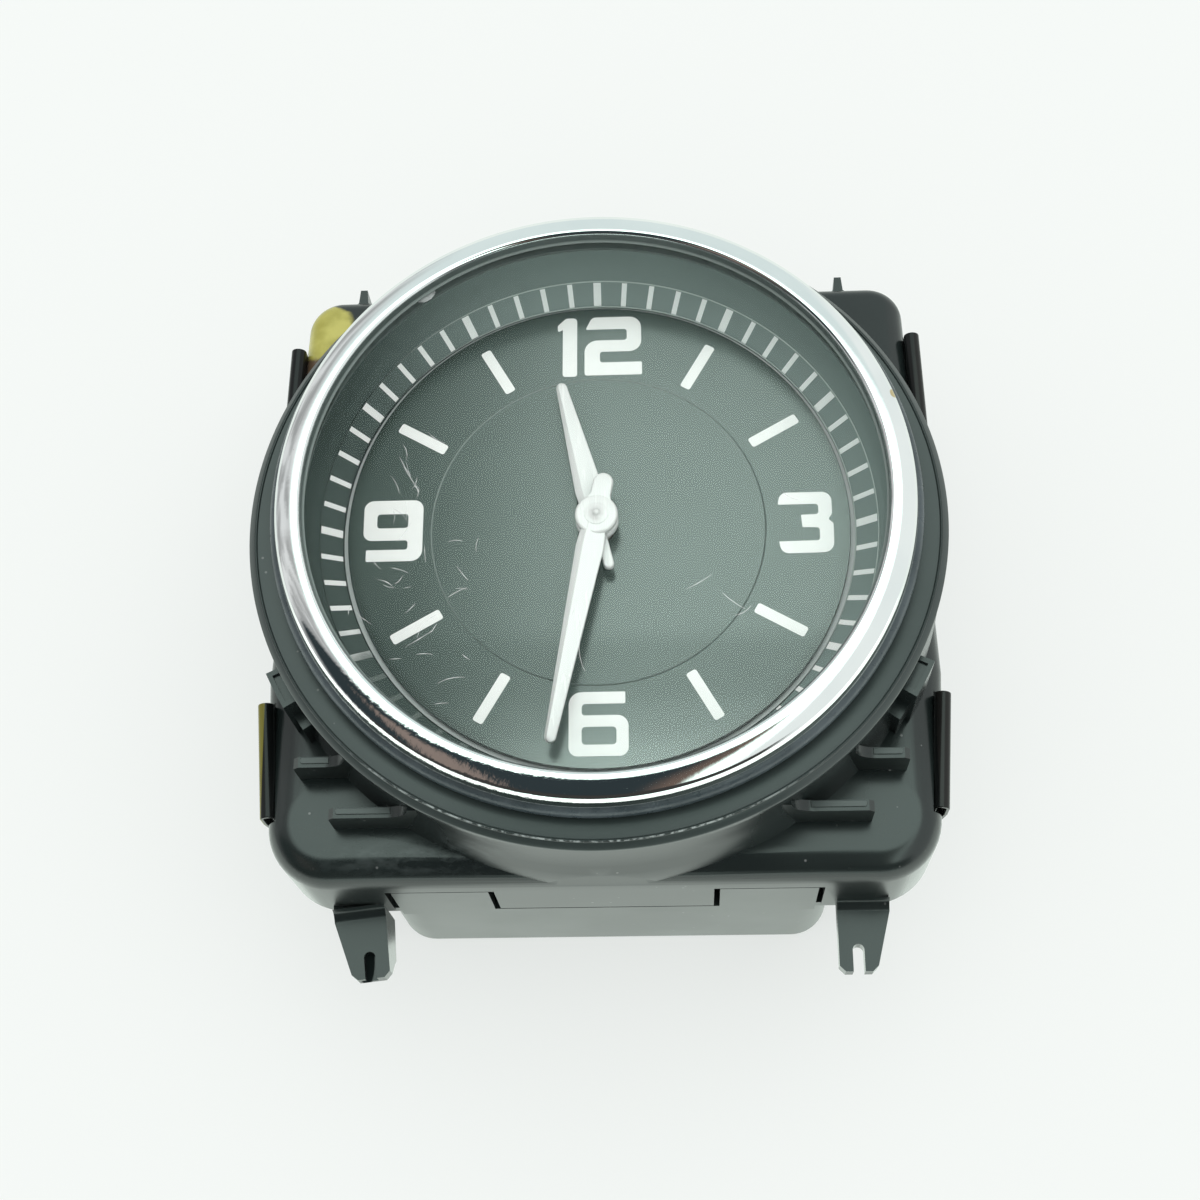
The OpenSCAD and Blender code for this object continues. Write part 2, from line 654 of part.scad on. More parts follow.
module rear_cover() {
  lid_gap = 0.25;
  box_y0 = -body_low;
  box_y = (box_y0 + cover_top) / 2;
  box_d = cover_top - box_y0;
  lid_z = z_split - cover_lid_t;
  color([0.09, 0.10, 0.10]) {
    difference() {
      union() {
        translate([0, box_y, z_split]) mirror([0, 0, 1]) hull() for (sx = [-1, 1], sy = [-1, 1])
          translate([sx * (cover_w / 2 - cover_corner_r), sy * (box_d / 2 - cover_corner_r), 0])
            soft_post(cover_corner_r, cover_h, cover_edge_r);
        translate([0, 0, lid_z]) linear_extrude(cover_lid_t) body_plan(lid_gap);
      }
      translate([0, box_y, wall]) linear_extrude(z_split)
        rounded_rect(cover_w - 2 * wall, box_d - 2 * wall, cover_corner_r - wall);
      translate([-socket_w / 2, socket_y - socket_d / 2, -eps]) cube([socket_w, socket_d, wall + 2 * eps]);
      translate([0, -label_y, -eps]) linear_extrude(label_t + eps)
        rounded_rect(label_w, label_d, cover_corner_r / 2);
      for (sx = [-1, 1], sy = [-1, 1]) translate([sx * board_post_x, sy * board_post_y, -eps])
        cylinder(r = board_post_r, h = label_t + eps);
    }
    for (side = [-1, 1]) {
      translate([side * (tongue_x + tongue_w / 2) - tongue_w / 2, -body_low, z_split - wall])
        cube([tongue_w, wall, wall + tongue_h]);
      for (up = [-1, 1]) translate([side * board_post_x, up * board_post_y, wall - eps]) difference() {
        cylinder(r = board_post_r, h = board_post_h + eps);
        translate([0, 0, wall]) cylinder(r = screw_r + hole_gap, h = board_post_h);
      }
    }
    translate([0, socket_y, wall - eps]) linear_extrude(z_header - wall + eps) difference() {
      square([socket_w + wall, socket_d + wall], center = true);
      square([socket_w, socket_d], center = true);
    }
  }
}

// Crowned ring: steep at the inner lip, then one long curve down to a narrow outer lip
module chrome_bezel() {
  round_in = 0.4;
  lip_w = 0.3;
  lip_h = 0.4;
  steps = 14;
  r_crest = bezel_in_r + round_in;
  r_seat = lens_r + seat_gap / 2;
  inner = [for (i = [0 : steps / 2]) let (a = 180 - 180 * i / steps)
    [r_crest + round_in * cos(a), z_top - round_in + round_in * sin(a)]];
  z_lip_out = z_bezel + lip_h;
  outer = [for (i = [1 : steps]) let (a = 90 - 90 * i / steps)
    [r_crest + (bezel_out_r - lip_w - r_crest) * cos(a), z_lip_out + (z_top - z_lip_out) * sin(a)]];
  color([0.86, 0.87, 0.88]) rotate_extrude($fn = 180) polygon(concat(
    [[r_seat, z_lip], [bezel_in_r, z_lip]], inner, outer,
    [[bezel_out_r, z_lip_out], [bezel_out_r, z_bezel], [r_seat, z_bezel]]));
}

// Black ring that carries the bezel, rounded outside
module bezel_bead() {
  mid = bead_h / 2;
  color([0.06, 0.06, 0.07]) rotate_extrude($fn = 180) intersection() {
    translate([lens_r + seat_gap / 2, z_seat]) square([bead_out_r - lens_r, bead_h]);
    union() {
      translate([lens_r, z_seat]) square([bead_out_r - mid * 0.7 - lens_r, bead_h]);
      translate([bead_out_r - mid, z_seat + mid]) circle(mid);
    }
  }
}

module lens() {
  edge = 0.25;
  color([0.85, 0.92, 0.92, 0.25]) rotate_extrude($fn = 180) polygon([[0, z_lens], [lens_r, z_lens],
    [lens_r, z_lip - edge], [lens_r - edge, z_lip], [0, z_lip]]);
}

module lens_gasket() {
  color([0.05, 0.05, 0.05]) ring(lens_r, bezel_in_r + 0.3, z_ring_top, z_lens);
}

// Sloped ring around the dial, relieved underneath like a moulded part
module minute_ring() {
  r_out = lens_r;
  r_top = bezel_in_r + 0.25;
  z_knee = z_dial + ring_knee_h;
  foot = 0.25;
  color([0.10, 0.11, 0.11]) rotate_extrude($fn = 180) polygon([
    [ring_in_r, z_guide_top], [ring_in_r, z_guide_top + foot], [ring_knee_r, z_knee],
    [r_top, z_ring_top], [r_out, z_ring_top], [r_out, z_guide_top], [r_out - ring_wall, z_guide_top],
    [r_out - ring_wall, z_dial + ring_knee_h / 2], [ring_in_r + ring_wall, z_guide_top]]);
}

module dial_plate() {
  edge = 0.2;
  color([0.13, 0.14, 0.14]) rotate_extrude($fn = 180) polygon([[dial_hole_r, z_guide_top],
    [dial_d / 2, z_guide_top], [dial_d / 2, z_dial - edge], [dial_d / 2 - edge, z_dial],
    [dial_hole_r, z_dial]]);
}

// Clear disc with four pipes that bring light up from the board
module light_guide() {
  color([0.90, 0.93, 0.95, 0.6]) {
    difference() {
      translate([0, 0, z_guide]) cylinder(r = lens_r, h = guide_t);
      translate([0, 0, z_guide - eps]) cylinder(r = bush_out_r + run_gap, h = guide_t + 2 * eps);
    }
    for (sx = [-1, 1], sy = [-1, 1]) translate([sx * pipe_x, sy * pipe_y, z_board_top + led_h + led_gap])
      cylinder(r = pipe_r, h = z_guide - z_board_top - led_h - led_gap + eps);
  }
}

// Front plate of the movement, with bosses for the fixed studs
module movement_plate() {
  color([0.80, 0.80, 0.78]) difference() {
    union() {
      translate([0, 0, z_mp]) cylinder(r = lens_r, h = plate_t);
      translate([reduction_at[0], reduction_at[1], z_reduction_top + layer_gap])
        cylinder(r = boss_r, h = z_mp - z_reduction_top - layer_gap + eps);
      translate([motion_at[0], motion_at[1], z_mp - layer_gap]) cylinder(r = boss_r, h = layer_gap + eps);
    }
    translate([0, 0, z_mp - eps]) cylinder(r = bush_out_r + hole_gap, h = plate_t + 2 * eps);
    for (at = [motion_at, reduction_at]) translate([at[0], at[1], z_reduction])
      cylinder(r = stud_r + hole_gap, h = z_guide - z_reduction + eps);
    for (sx = [-1, 1], sy = [-1, 1]) translate([sx * pipe_x, sy * pipe_y, z_mp - eps])
      cylinder(r = pipe_r + seat_gap, h = plate_t + 2 * eps);
    for (dir = pillar_dirs) translate([bridge_at[0] + pillar_ring_r * cos(dir),
      bridge_at[1] + pillar_ring_r * sin(dir), z_mp - eps])
      cylinder(r = screw_r + hole_gap, h = plate_t + 2 * eps);
  }
}

// Rear bridge of the movement, with pillars up to the front plate
module movement_bridge() {
  color([0.78, 0.78, 0.76]) difference() {
    union() {
      translate([bridge_at[0], bridge_at[1], z_bridge]) difference() {
        cylinder(r = bridge_r, h = bridge_t);
        for (dir = [30, 270]) rotate(dir) translate([bridge_r * 0.62, 0, -eps])
          cylinder(r = bridge_r * 0.2, h = bridge_t + 2 * eps);
      }
      for (dir = pillar_dirs) translate([bridge_at[0] + pillar_ring_r * cos(dir),
        bridge_at[1] + pillar_ring_r * sin(dir), z_bridge]) cylinder(r = pillar_r, h = z_mp - z_bridge);
      translate([reduction_at[0], reduction_at[1], z_bridge])
        cylinder(r = boss_r, h = z_centre - 2 * layer_gap - z_bridge);
    }
    translate([0, 0, z_bridge - eps]) cylinder(r = stud_r + run_gap, h = bridge_t + 2 * eps);
    for (at = [motion_at, reduction_at]) translate([at[0], at[1], z_bridge - eps])
      cylinder(r = stud_r + hole_gap, h = z_centre - z_bridge);
    translate([motor_at[0], motor_at[1], z_bridge - eps])
      cylinder(r = motor_boss_r + hole_gap, h = bridge_t + 2 * eps);
    for (dir = pillar_dirs) translate([bridge_at[0] + pillar_ring_r * cos(dir),
      bridge_at[1] + pillar_ring_r * sin(dir), z_bridge - eps])
      cylinder(r = screw_r + hole_gap, h = z_mp - z_bridge + 2 * eps);
  }
}

// Pan-head screw with its head below and its shank upwards
module screw(shank_h) {
  translate([0, 0, -screw_head_h]) difference() {
    cylinder(r = screw_head_r, h = screw_head_h);
    for (turn = [0, 90]) rotate(turn) translate([-screw_head_r * 0.6, -screw_r * 0.2, -eps])
      cube([screw_head_r * 1.2, screw_r * 0.4, screw_head_h / 2]);
  }
  translate([0, 0, -eps]) cylinder(r = screw_r, h = shank_h + eps);
}

module movement_screws() {
  color([0.65, 0.65, 0.66]) for (dir = pillar_dirs)
    translate([bridge_at[0] + pillar_ring_r * cos(dir), bridge_at[1] + pillar_ring_r * sin(dir), z_bridge])
      screw(z_guide - z_bridge - plate_t / 3);
}

// Flanged brass bush for the hour pipe, pressed into the front plate
module centre_bush() {
  color([0.80, 0.66, 0.33]) difference() {
    translate([0, 0, z_mp - layer_gap / 2]) cylinder(r = bush_out_r, h = plate_t + guide_t / 2);
    translate([0, 0, z_mp - layer_gap]) cylinder(r = bush_in_r, h = plate_t + guide_t);
  }
}

// Fixed steel stud with a collar that carries the motion wheel
module motion_stud() {
  color([0.72, 0.72, 0.74]) translate([motion_at[0], motion_at[1], 0]) {
    translate([0, 0, z_bridge]) cylinder(r = stud_r, h = z_guide - z_bridge);
    ring(boss_r, stud_r - eps, z_motion - layer_gap - collar_h, z_motion - layer_gap);
  }
}

module reduction_stud() {
  color([0.72, 0.72, 0.74]) translate([reduction_at[0], reduction_at[1], z_bridge])
    cylinder(r = stud_r, h = z_guide - z_bridge);
}

// Involute angle, in degrees, for a pressure angle
function involute(a) = tan(a) * 180 / PI - a;
// Half the angle of a tooth at radius r, for a gear with pitch radius rp
function half_tooth(r, rp, n) =
  let (rb = rp * cos(tooth_pressure), a = r > rb ? acos(rb / r) : 0)
  90 / n - backlash / rp * 45 / PI + involute(tooth_pressure) - involute(a);
function polar(r, a) = [r * cos(a), r * sin(a)];

// Toothed outline, with a tooth centred on the +X axis
function gear_outline(n, m) =
  let (rp = n * m / 2, rt = rp + tooth_add * m, rr = rp - tooth_ded * m,
    rf = max(rr, rp * cos(tooth_pressure)), rm = (rf + rt) / 2,
    ht = half_tooth(rt, rp, n), hm = half_tooth(rm, rp, n), hf = half_tooth(rf, rp, n))
  [for (i = [0 : n - 1]) let (c = i * 360 / n)
    each [polar(rr, c - hf), polar(rf + eps, c - hf), polar(rm, c - hm), polar(rt, c - ht),
      polar(rt, c + ht), polar(rm, c + hm), polar(rf + eps, c + hf), polar(rr, c + hf)]];

module gear(n, m, z0, z1, turn) {
  rotate(turn) translate([0, 0, z0]) linear_extrude(z1 - z0) polygon(gear_outline(n, m));
}

// Shaft or bore of a turning piece
module rod(r, z0, z1) {
  translate([0, 0, z0]) cylinder(r = r, h = z1 - z0);
}

// Closed stepper motor on the board, with a round boss that locates it in the bridge
module stepper_motor() {
  case_h = z_bridge - screw_head_h - layer_gap - z_board_top;
  boss_top = z_bridge + bridge_t / 2;
  color([0.12, 0.12, 0.13]) translate([motor_at[0], motor_at[1], 0]) difference() {
    union() {
      translate([motor_w / 8, 0, z_board_top]) linear_extrude(case_h) rounded_rect(motor_w, motor_w, 2);
      rod(motor_boss_r, z_board_top, boss_top);
    }
    rod(stud_r + run_gap, z_bridge - shaft_depth, boss_top + eps);
  }
}

module motor_pinion() {
  color([0.75, 0.75, 0.72]) translate([motor_at[0], motor_at[1], 0]) {
    gear(motor_n, gear_m, z_reduction - layer_gap, z_reduction_top + layer_gap,
      motor_dir + 180 + 180 / motor_n);
    rod(stud_r, z_bridge - shaft_depth + layer_gap, z_reduction);
  }
}

module reduction_wheel() {
  color([0.85, 0.83, 0.76]) translate([reduction_at[0], reduction_at[1], 0]) difference() {
    union() {
      gear(reduction_n, gear_m, z_reduction, z_reduction_top, motor_dir);
      gear(reduction_pinion_n, gear_m, z_centre - layer_gap, z_reduction + eps,
        reduction_dir + 180 + 180 / reduction_pinion_n);
    }
    rod(stud_r + run_gap, z_bridge, z_mp);
  }
}

// Minute arbor: driven wheel, cannon pinion and the shaft that carries the minute hand
module centre_wheel() {
  color([0.80, 0.68, 0.38]) {
    gear(centre_n, gear_m, z_centre, z_centre_top, reduction_dir);
    gear(cannon_n, gear_m, z_cannon, z_cannon_top, motion_dir);
    rod(arbor_r * 2, z_bridge_top + layer_gap, z_cannon + eps);
    rod(stud_r, z_bridge - layer_gap, z_centre);
    rod(arbor_r, z_cannon_top - eps, z_arbor_top);
  }
}

module motion_wheel() {
  color([0.85, 0.83, 0.76]) translate([motion_at[0], motion_at[1], 0]) difference() {
    union() {
      gear(motion_n, gear_m, z_motion, z_motion_top, motion_dir + 180 + 180 / motion_n);
      gear(motion_pinion_n, hour_m, z_motion_top - eps, z_mp - plate_gap, motion_dir + 180);
    }
    rod(stud_r + run_gap, z_bridge, z_mp);
  }
}

module hour_wheel() {
  color([0.80, 0.68, 0.38]) difference() {
    union() {
      gear(hour_n, hour_m, z_hour, z_hour_top, motion_dir + 180 / hour_n);
      rod(pipe_out_r, z_hour, z_hour_hand + hand_h);
    }
    rod(pipe_in_r, z_hour - eps, z_hour_hand + hand_h + eps);
  }
}

// Ridged blade along +Y with a flat tail: six outline points below, six above and two on the ridge
module blade(len, tail, tail_w, shift) {
  tip_r = hand_tip_w / 2;
  tail_r = tail_w / 2;
  ridge_top = hand_h - hand_t / 8;
  flat = [[-hand_w / 2, 0], [hand_w / 2, 0], [tip_r, len - tip_r], [tip_r / 2, len],
    [-tip_r / 2, len], [-tip_r, len - tip_r]];
  ridge = [[shift, 0, ridge_top], [shift * hand_tip_w / hand_w, len - hand_tip_w, ridge_top]];
  sides = [for (i = [0 : 5]) [i, i + 6, (i + 1) % 6 + 6, (i + 1) % 6]];
  roof = [[6, 12, 7], [7, 12, 13], [7, 13, 8], [8, 13, 9],
    [9, 13, 10], [10, 13, 11], [11, 13, 12], [11, 12, 6]];
  polyhedron(concat([for (p = flat) [p[0], p[1], 0]], [for (p = flat) [p[0], p[1], hand_t]], ridge),
    concat([[0, 1, 2, 3, 4, 5]], sides, roof));
  linear_extrude(hand_t) {
    translate([0, tail_r - tail]) circle(tail_r);
    translate([-tail_r, tail_r - tail]) square([tail_w, tail - tail_r]);
  }
}

module hour_hand() {
  color([0.90, 0.91, 0.91]) translate([0, 0, z_hour_hand]) rotate(-hour_angle) difference() {
    union() {
      blade(hour_len, hour_tail, hour_tail_w, -ridge_shift);
      cylinder(r = hub_r, h = hand_h);
    }
    translate([0, 0, -eps]) cylinder(r = pipe_out_r + hole_gap, h = hand_h + 2 * eps);
  }
}

module minute_hand() {
  color([0.90, 0.91, 0.91]) translate([0, 0, z_minute_hand]) rotate(-minute_angle) difference() {
    union() {
      blade(minute_len, minute_tail, minute_tail_w, ridge_shift);
      cylinder(r = hub_r, h = hand_h);
    }
    translate([0, 0, -eps]) cylinder(r = arbor_r + hole_gap, h = hand_h + 2 * eps);
  }
}

// Low domed cap over the end of the minute arbor
module hand_cap() {
  dome = (cap_r * cap_r + cap_h * cap_h) / (2 * cap_h);
  color([0.92, 0.93, 0.93]) translate([0, 0, z_arbor_top]) intersection() {
    translate([0, 0, cap_h - dome]) sphere(dome);
    cylinder(r = cap_r + eps, h = cap_h + eps);
  }
}

module circuit_board() {
  color([0.10, 0.32, 0.20]) translate([0, 0, z_board]) difference() {
    linear_extrude(board_t) rounded_rect(board_w, board_d, 2);
    for (sx = [-1, 1], sy = [-1, 1]) translate([sx * board_post_x, sy * board_post_y, -eps])
      cylinder(r = screw_r + hole_gap, h = board_t + 2 * eps);
  }
}

module board_screws() {
  color([0.65, 0.65, 0.66]) for (sx = [-1, 1], sy = [-1, 1])
    translate([sx * board_post_x, sy * board_post_y, z_board_top]) mirror([0, 0, 1]) screw(board_t + wall);
}

module dial_leds() {
  led_w = 2;
  color([0.95, 0.93, 0.80]) for (sx = [-1, 1], sy = [-1, 1])
    translate([sx * pipe_x, sy * pipe_y, z_board_top]) {
      translate([-led_w / 2, -led_w / 2, 0]) cube([led_w, led_w, led_h / 2]);
      cylinder(r = led_w * 0.45, h = led_h);
    }
}

// Square chip with a row of leads along each side
module microcontroller() {
  chip_w = 9;
  chip_t = 1.4;
  lead_w = 0.4;
  color([0.08, 0.08, 0.08]) translate([chip_at[0], chip_at[1], z_board_top]) {
    translate([-chip_w / 2, -chip_w / 2, lead_w / 2]) cube([chip_w, chip_w, chip_t]);
    for (turn = [0 : 90 : 270], i = [-3 : 3]) rotate(turn)
      translate([chip_w / 2 - eps, i * 2.6 * lead_w - lead_w / 2, 0]) cube([lead_w * 2, lead_w, lead_w]);
  }
}

module capacitor() {
  can_r = 3;
  can_h = 4.6;
  base_h = 0.8;
  color([0.75, 0.76, 0.78]) translate([can_at[0], can_at[1], z_board_top]) {
    translate([-can_r, -can_r, 0]) cube([2 * can_r, 2 * can_r, base_h]);
    translate([0, 0, base_h - eps]) cylinder(r = can_r, h = can_h - base_h);
  }
}

// Plastic block on the back of the board that closes the socket
module connector_header() {
  color([0.13, 0.13, 0.14]) difference() {
    translate([-socket_w / 2 - wall / 2, socket_y - socket_d / 2 - wall / 2, z_header])
      cube([socket_w + wall, socket_d + wall, header_t]);
    contact_places() translate([-contact_w / 2 - hole_gap, -contact_w / 2 - hole_gap, z_header - eps])
      cube([contact_w + 2 * hole_gap, contact_w + 2 * hole_gap, header_t + 2 * eps]);
  }
}

// Places of the contacts: two rows across the socket
module contact_places() {
  for (i = [0 : contact_count - 1], row = [-1, 1])
    translate([(i - (contact_count - 1) / 2) * contact_pitch, socket_y + row * contact_pitch / 2, 0])
      children();
}

module connector_contacts() {
  color([0.82, 0.70, 0.36]) contact_places() translate([-contact_w / 2, -contact_w / 2, socket_depth])
    cube([contact_w, contact_w, z_board - socket_depth]);
}

// Folded spring clip in its recess: a hairpin bend with a bowed outer leg
module side_clip(side, up) {
  r_out = clip_fold / 2;
  bow = clip_sheet;
  color([0.05, 0.05, 0.05]) clip_place(side, up) translate([0, clip_len / 2, -clip_h])
    rotate([90, 0, 0]) linear_extrude(clip_len) {
      square([clip_sheet, clip_h - r_out + eps]);
      translate([r_out, clip_h - r_out]) difference() {
        circle(r_out);
        circle(r_out - clip_sheet);
        translate([-clip_fold, -clip_fold]) square([2 * clip_fold, clip_fold]);
      }
      polygon([[clip_fold, clip_h - r_out + eps], [clip_fold - clip_sheet, clip_h - r_out + eps],
        [clip_fold - clip_sheet, clip_h / 2], [clip_fold - clip_sheet - bow, 0.4],
        [clip_fold - bow, 0], [clip_fold, clip_h / 2]]);
    }
}

module clip_upper_left() { side_clip(-1, 1); }
module clip_upper_right() { side_clip(1, 1); }
module clip_lower_left() { side_clip(-1, -1); }
module clip_lower_right() { side_clip(1, -1); }

front_housing();
rear_cover();
chrome_bezel();
bezel_bead();
lens();
lens_gasket();
minute_ring();
dial_plate();
light_guide();
movement_plate();
movement_bridge();
movement_screws();
centre_bush();
motion_stud();
reduction_stud();
stepper_motor();
motor_pinion();
reduction_wheel();
centre_wheel();
motion_wheel();
hour_wheel();
hour_hand();
minute_hand();
hand_cap();
circuit_board();
board_screws();
dial_leds();
microcontroller();
capacitor();
connector_header();
connector_contacts();
clip_upper_left();
clip_upper_right();
clip_lower_left();
clip_lower_right();
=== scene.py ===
import math
import random

import bmesh
import bpy
from mathutils import Matrix, Vector


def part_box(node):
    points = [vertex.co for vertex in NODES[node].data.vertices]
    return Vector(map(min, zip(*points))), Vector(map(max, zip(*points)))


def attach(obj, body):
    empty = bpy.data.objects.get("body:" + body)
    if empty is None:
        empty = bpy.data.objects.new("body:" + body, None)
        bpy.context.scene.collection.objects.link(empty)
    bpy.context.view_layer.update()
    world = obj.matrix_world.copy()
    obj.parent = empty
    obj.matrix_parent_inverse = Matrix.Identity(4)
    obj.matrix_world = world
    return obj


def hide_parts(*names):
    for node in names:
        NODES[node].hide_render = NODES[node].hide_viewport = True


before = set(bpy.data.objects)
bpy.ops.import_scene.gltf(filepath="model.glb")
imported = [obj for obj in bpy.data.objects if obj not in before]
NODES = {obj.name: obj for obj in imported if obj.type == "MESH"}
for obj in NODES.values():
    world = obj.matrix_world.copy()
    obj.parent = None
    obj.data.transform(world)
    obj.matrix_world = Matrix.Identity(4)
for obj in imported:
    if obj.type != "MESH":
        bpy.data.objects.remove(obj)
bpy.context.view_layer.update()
MM = 0.001

scene = bpy.context.scene
scene.view_settings.view_transform = "Standard"

# Heights in millimetres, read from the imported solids
Z_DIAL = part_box("dial_plate")[1].z / MM
Z_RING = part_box("minute_ring")[1].z / MM
Z_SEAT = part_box("bezel_bead")[0].z / MM
Z_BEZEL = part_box("chrome_bezel")[0].z / MM
Z_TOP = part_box("chrome_bezel")[1].z / MM
Z_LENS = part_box("lens")[0].z / MM
Z_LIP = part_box("lens")[1].z / MM
# The front plate lies below the bezel's seat, and the gusset ribs rise from it
PLATE_DROP, RIB_RISE = 11.5, 4
Z_RIB = Z_SEAT - PLATE_DROP + RIB_RISE
# Radii in millimetres, as in the part's source
LENS_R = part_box("lens")[1].x / MM
BEZEL_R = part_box("chrome_bezel")[1].x / MM
BEZEL_IN_R = 29.15
BEAD_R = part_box("bezel_bead")[1].x / MM
FLANGE_R = BEZEL_R + 3.4
FLANGE_TILT = math.radians(3.2)
DIAL_R, DIAL_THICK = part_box("dial_plate")[1].x / MM, 0.8
HUB_HOLE_R = 1.8
# Minute ring: its inner edge, and the knee where the printed cone turns up, with heights above the dial
RING_IN_R, RING_IN_H = 26.5, -0.55
KNEE_R, KNEE_H = 28.75, 1.1
RING_WALL_R, RING_TOP_R, RING_OUT_R, RING_FOOT_R = 29.36, 29.42, 30.6, 29.6
# Liner of the bezel's bore, with a ridge near its foot
LIP_LOW, LIP_HIGH = Z_LIP + 0.02, Z_TOP - 0.28
LIP_RIDGE = LIP_LOW + 0.22 * (LIP_HIGH - LIP_LOW)
LIP_RIDGE_R = 0.15 * (LIP_HIGH - LIP_LOW)
# Hands at rest, in degrees clockwise from 12 o'clock
MINUTE_ANGLE, HOUR_ANGLE = 190.9, 346.4
# Patches on the housing: centre x and y, radius x and y, in millimetres
PAINT_DAB = (-32.4, 31.3, 3.4, 3.7)
STAIN = (-34.2, 28.3, 2.0, 2.6)
# The worn edge patch below is lightened as a painted highlight too; the leg slot patch marks painted shade.
WORN_EDGE_AND_HIGHLIGHT = (-18, -33.2, 9, 1.3)
LEG_SLOT, LEG_SLOT_TOP = (-25.0, -41.6, 0.75, 2.4), 17.3
# Strength of the painted reflection on the face, set by place: x and strength at the left and the right, then
# bands down the face from one y to another, each with its factor
PAINTED_REFLECTION_LEFT, PAINTED_REFLECTION_RIGHT = (-25, 0.02), (4, 0.5)
PAINTED_REFLECTION_BANDS = ((-10.5, -14, 0.76), (-17.5, -21, 1.3), (-20.5, -28, 1.9))
SATIN_IOR = 1.92

# Camera: the photograph's own view, from a fit to the dial's marks
CAM_AZIMUTH, CAM_ELEVATION, CAM_ROLL = 6.822, 67.833, -7.493
CAM_DISTANCE = 0.191331
CAM_TARGET = Vector((0.000198, -0.008110, Z_DIAL * MM))
CAM_LENS, CAM_SENSOR = 56.404, 36
CAM_CLIP = 0.005, 20


def make_camera():
    az, el, roll = (math.radians(a) for a in (CAM_AZIMUTH, CAM_ELEVATION, CAM_ROLL))
    back = Vector((math.sin(az) * math.cos(el), -math.cos(az) * math.cos(el), math.sin(el)))
    right = (-back).cross(Vector((0, 0, 1))).normalized()
    up = right.cross(-back)
    x = math.cos(roll) * right + math.sin(roll) * up
    y = -math.sin(roll) * right + math.cos(roll) * up
    data = bpy.data.cameras.new("camera")
    data.lens, data.sensor_width = CAM_LENS, CAM_SENSOR
    data.clip_start, data.clip_end = CAM_CLIP
    cam = bpy.data.objects.new("camera", data)
    m = Matrix((x, y, back)).transposed().to_4x4()
    m.translation = CAM_TARGET + back * CAM_DISTANCE
    cam.matrix_world = m
    scene.collection.objects.link(cam)
    scene.camera = cam


# Node helpers


class Tree:
    """Short ways to add nodes to a tree; a value is a constant or another node's output."""

    def __init__(self, tree):
        self.tree = tree
        self.coord = None

    def put(self, socket, value):
        if isinstance(value, bpy.types.NodeSocket):
            self.tree.links.new(value, socket)
        else:
            socket.default_value = value

    def node(self, kind, inputs=None, **props):
        n = self.tree.nodes.new(kind)
        for key, value in props.items():
            setattr(n, key, value)
        for key, value in (inputs or {}).items():
            self.put(n.inputs[key], value)
        return n

    def math(self, op, a, b=0.0, c=0.0, clamp=False):
        return self.node("ShaderNodeMath", {0: a, 1: b, 2: c}, operation=op, use_clamp=clamp).outputs[0]

    def add(self, a, b, clamp=False):
        return self.math("ADD", a, b, clamp=clamp)

    def mul(self, a, b):
        return self.math("MULTIPLY", a, b)

    def length(self, a, b):
        return self.math("SQRT", self.add(self.mul(a, a), self.mul(b, b)))

    def step(self, value, low, high, out_low=0.0, out_high=1.0):
        """Smooth step from out_low at low to out_high at high; low may be the larger one."""
        ins = {"Value": value, "From Min": low, "From Max": high, "To Min": out_low, "To Max": out_high}
        return self.node("ShaderNodeMapRange", ins, interpolation_type="SMOOTHSTEP").outputs[0]

    def noise(self, scale, detail=3.0, stretch=None, vector=None):
        at = vector or self.coord
        if stretch:
            at = self.node("ShaderNodeMapping", {"Vector": at, "Scale": stretch}).outputs[0]
        return self.node("ShaderNodeTexNoise", {"Vector": at, "Scale": scale, "Detail": detail}).outputs["Fac"]

    def vector(self, x=0.0, y=0.0, z=0.0):
        return self.node("ShaderNodeCombineXYZ", {0: x, 1: y, 2: z}).outputs[0]

    def split(self, vector):
        return self.node("ShaderNodeSeparateXYZ", {0: vector}).outputs[:3]

    def mix(self, fac, a, b):
        n = self.node("ShaderNodeMix", {"Factor": fac}, data_type="RGBA")
        for name, value in (("A", a), ("B", b)):
            socket = [s for s in n.inputs if s.name == name and s.type == "RGBA"][0]
            self.put(socket, value if isinstance(value, bpy.types.NodeSocket) else (*value, 1))
        return [s for s in n.outputs if s.type == "RGBA"][0]


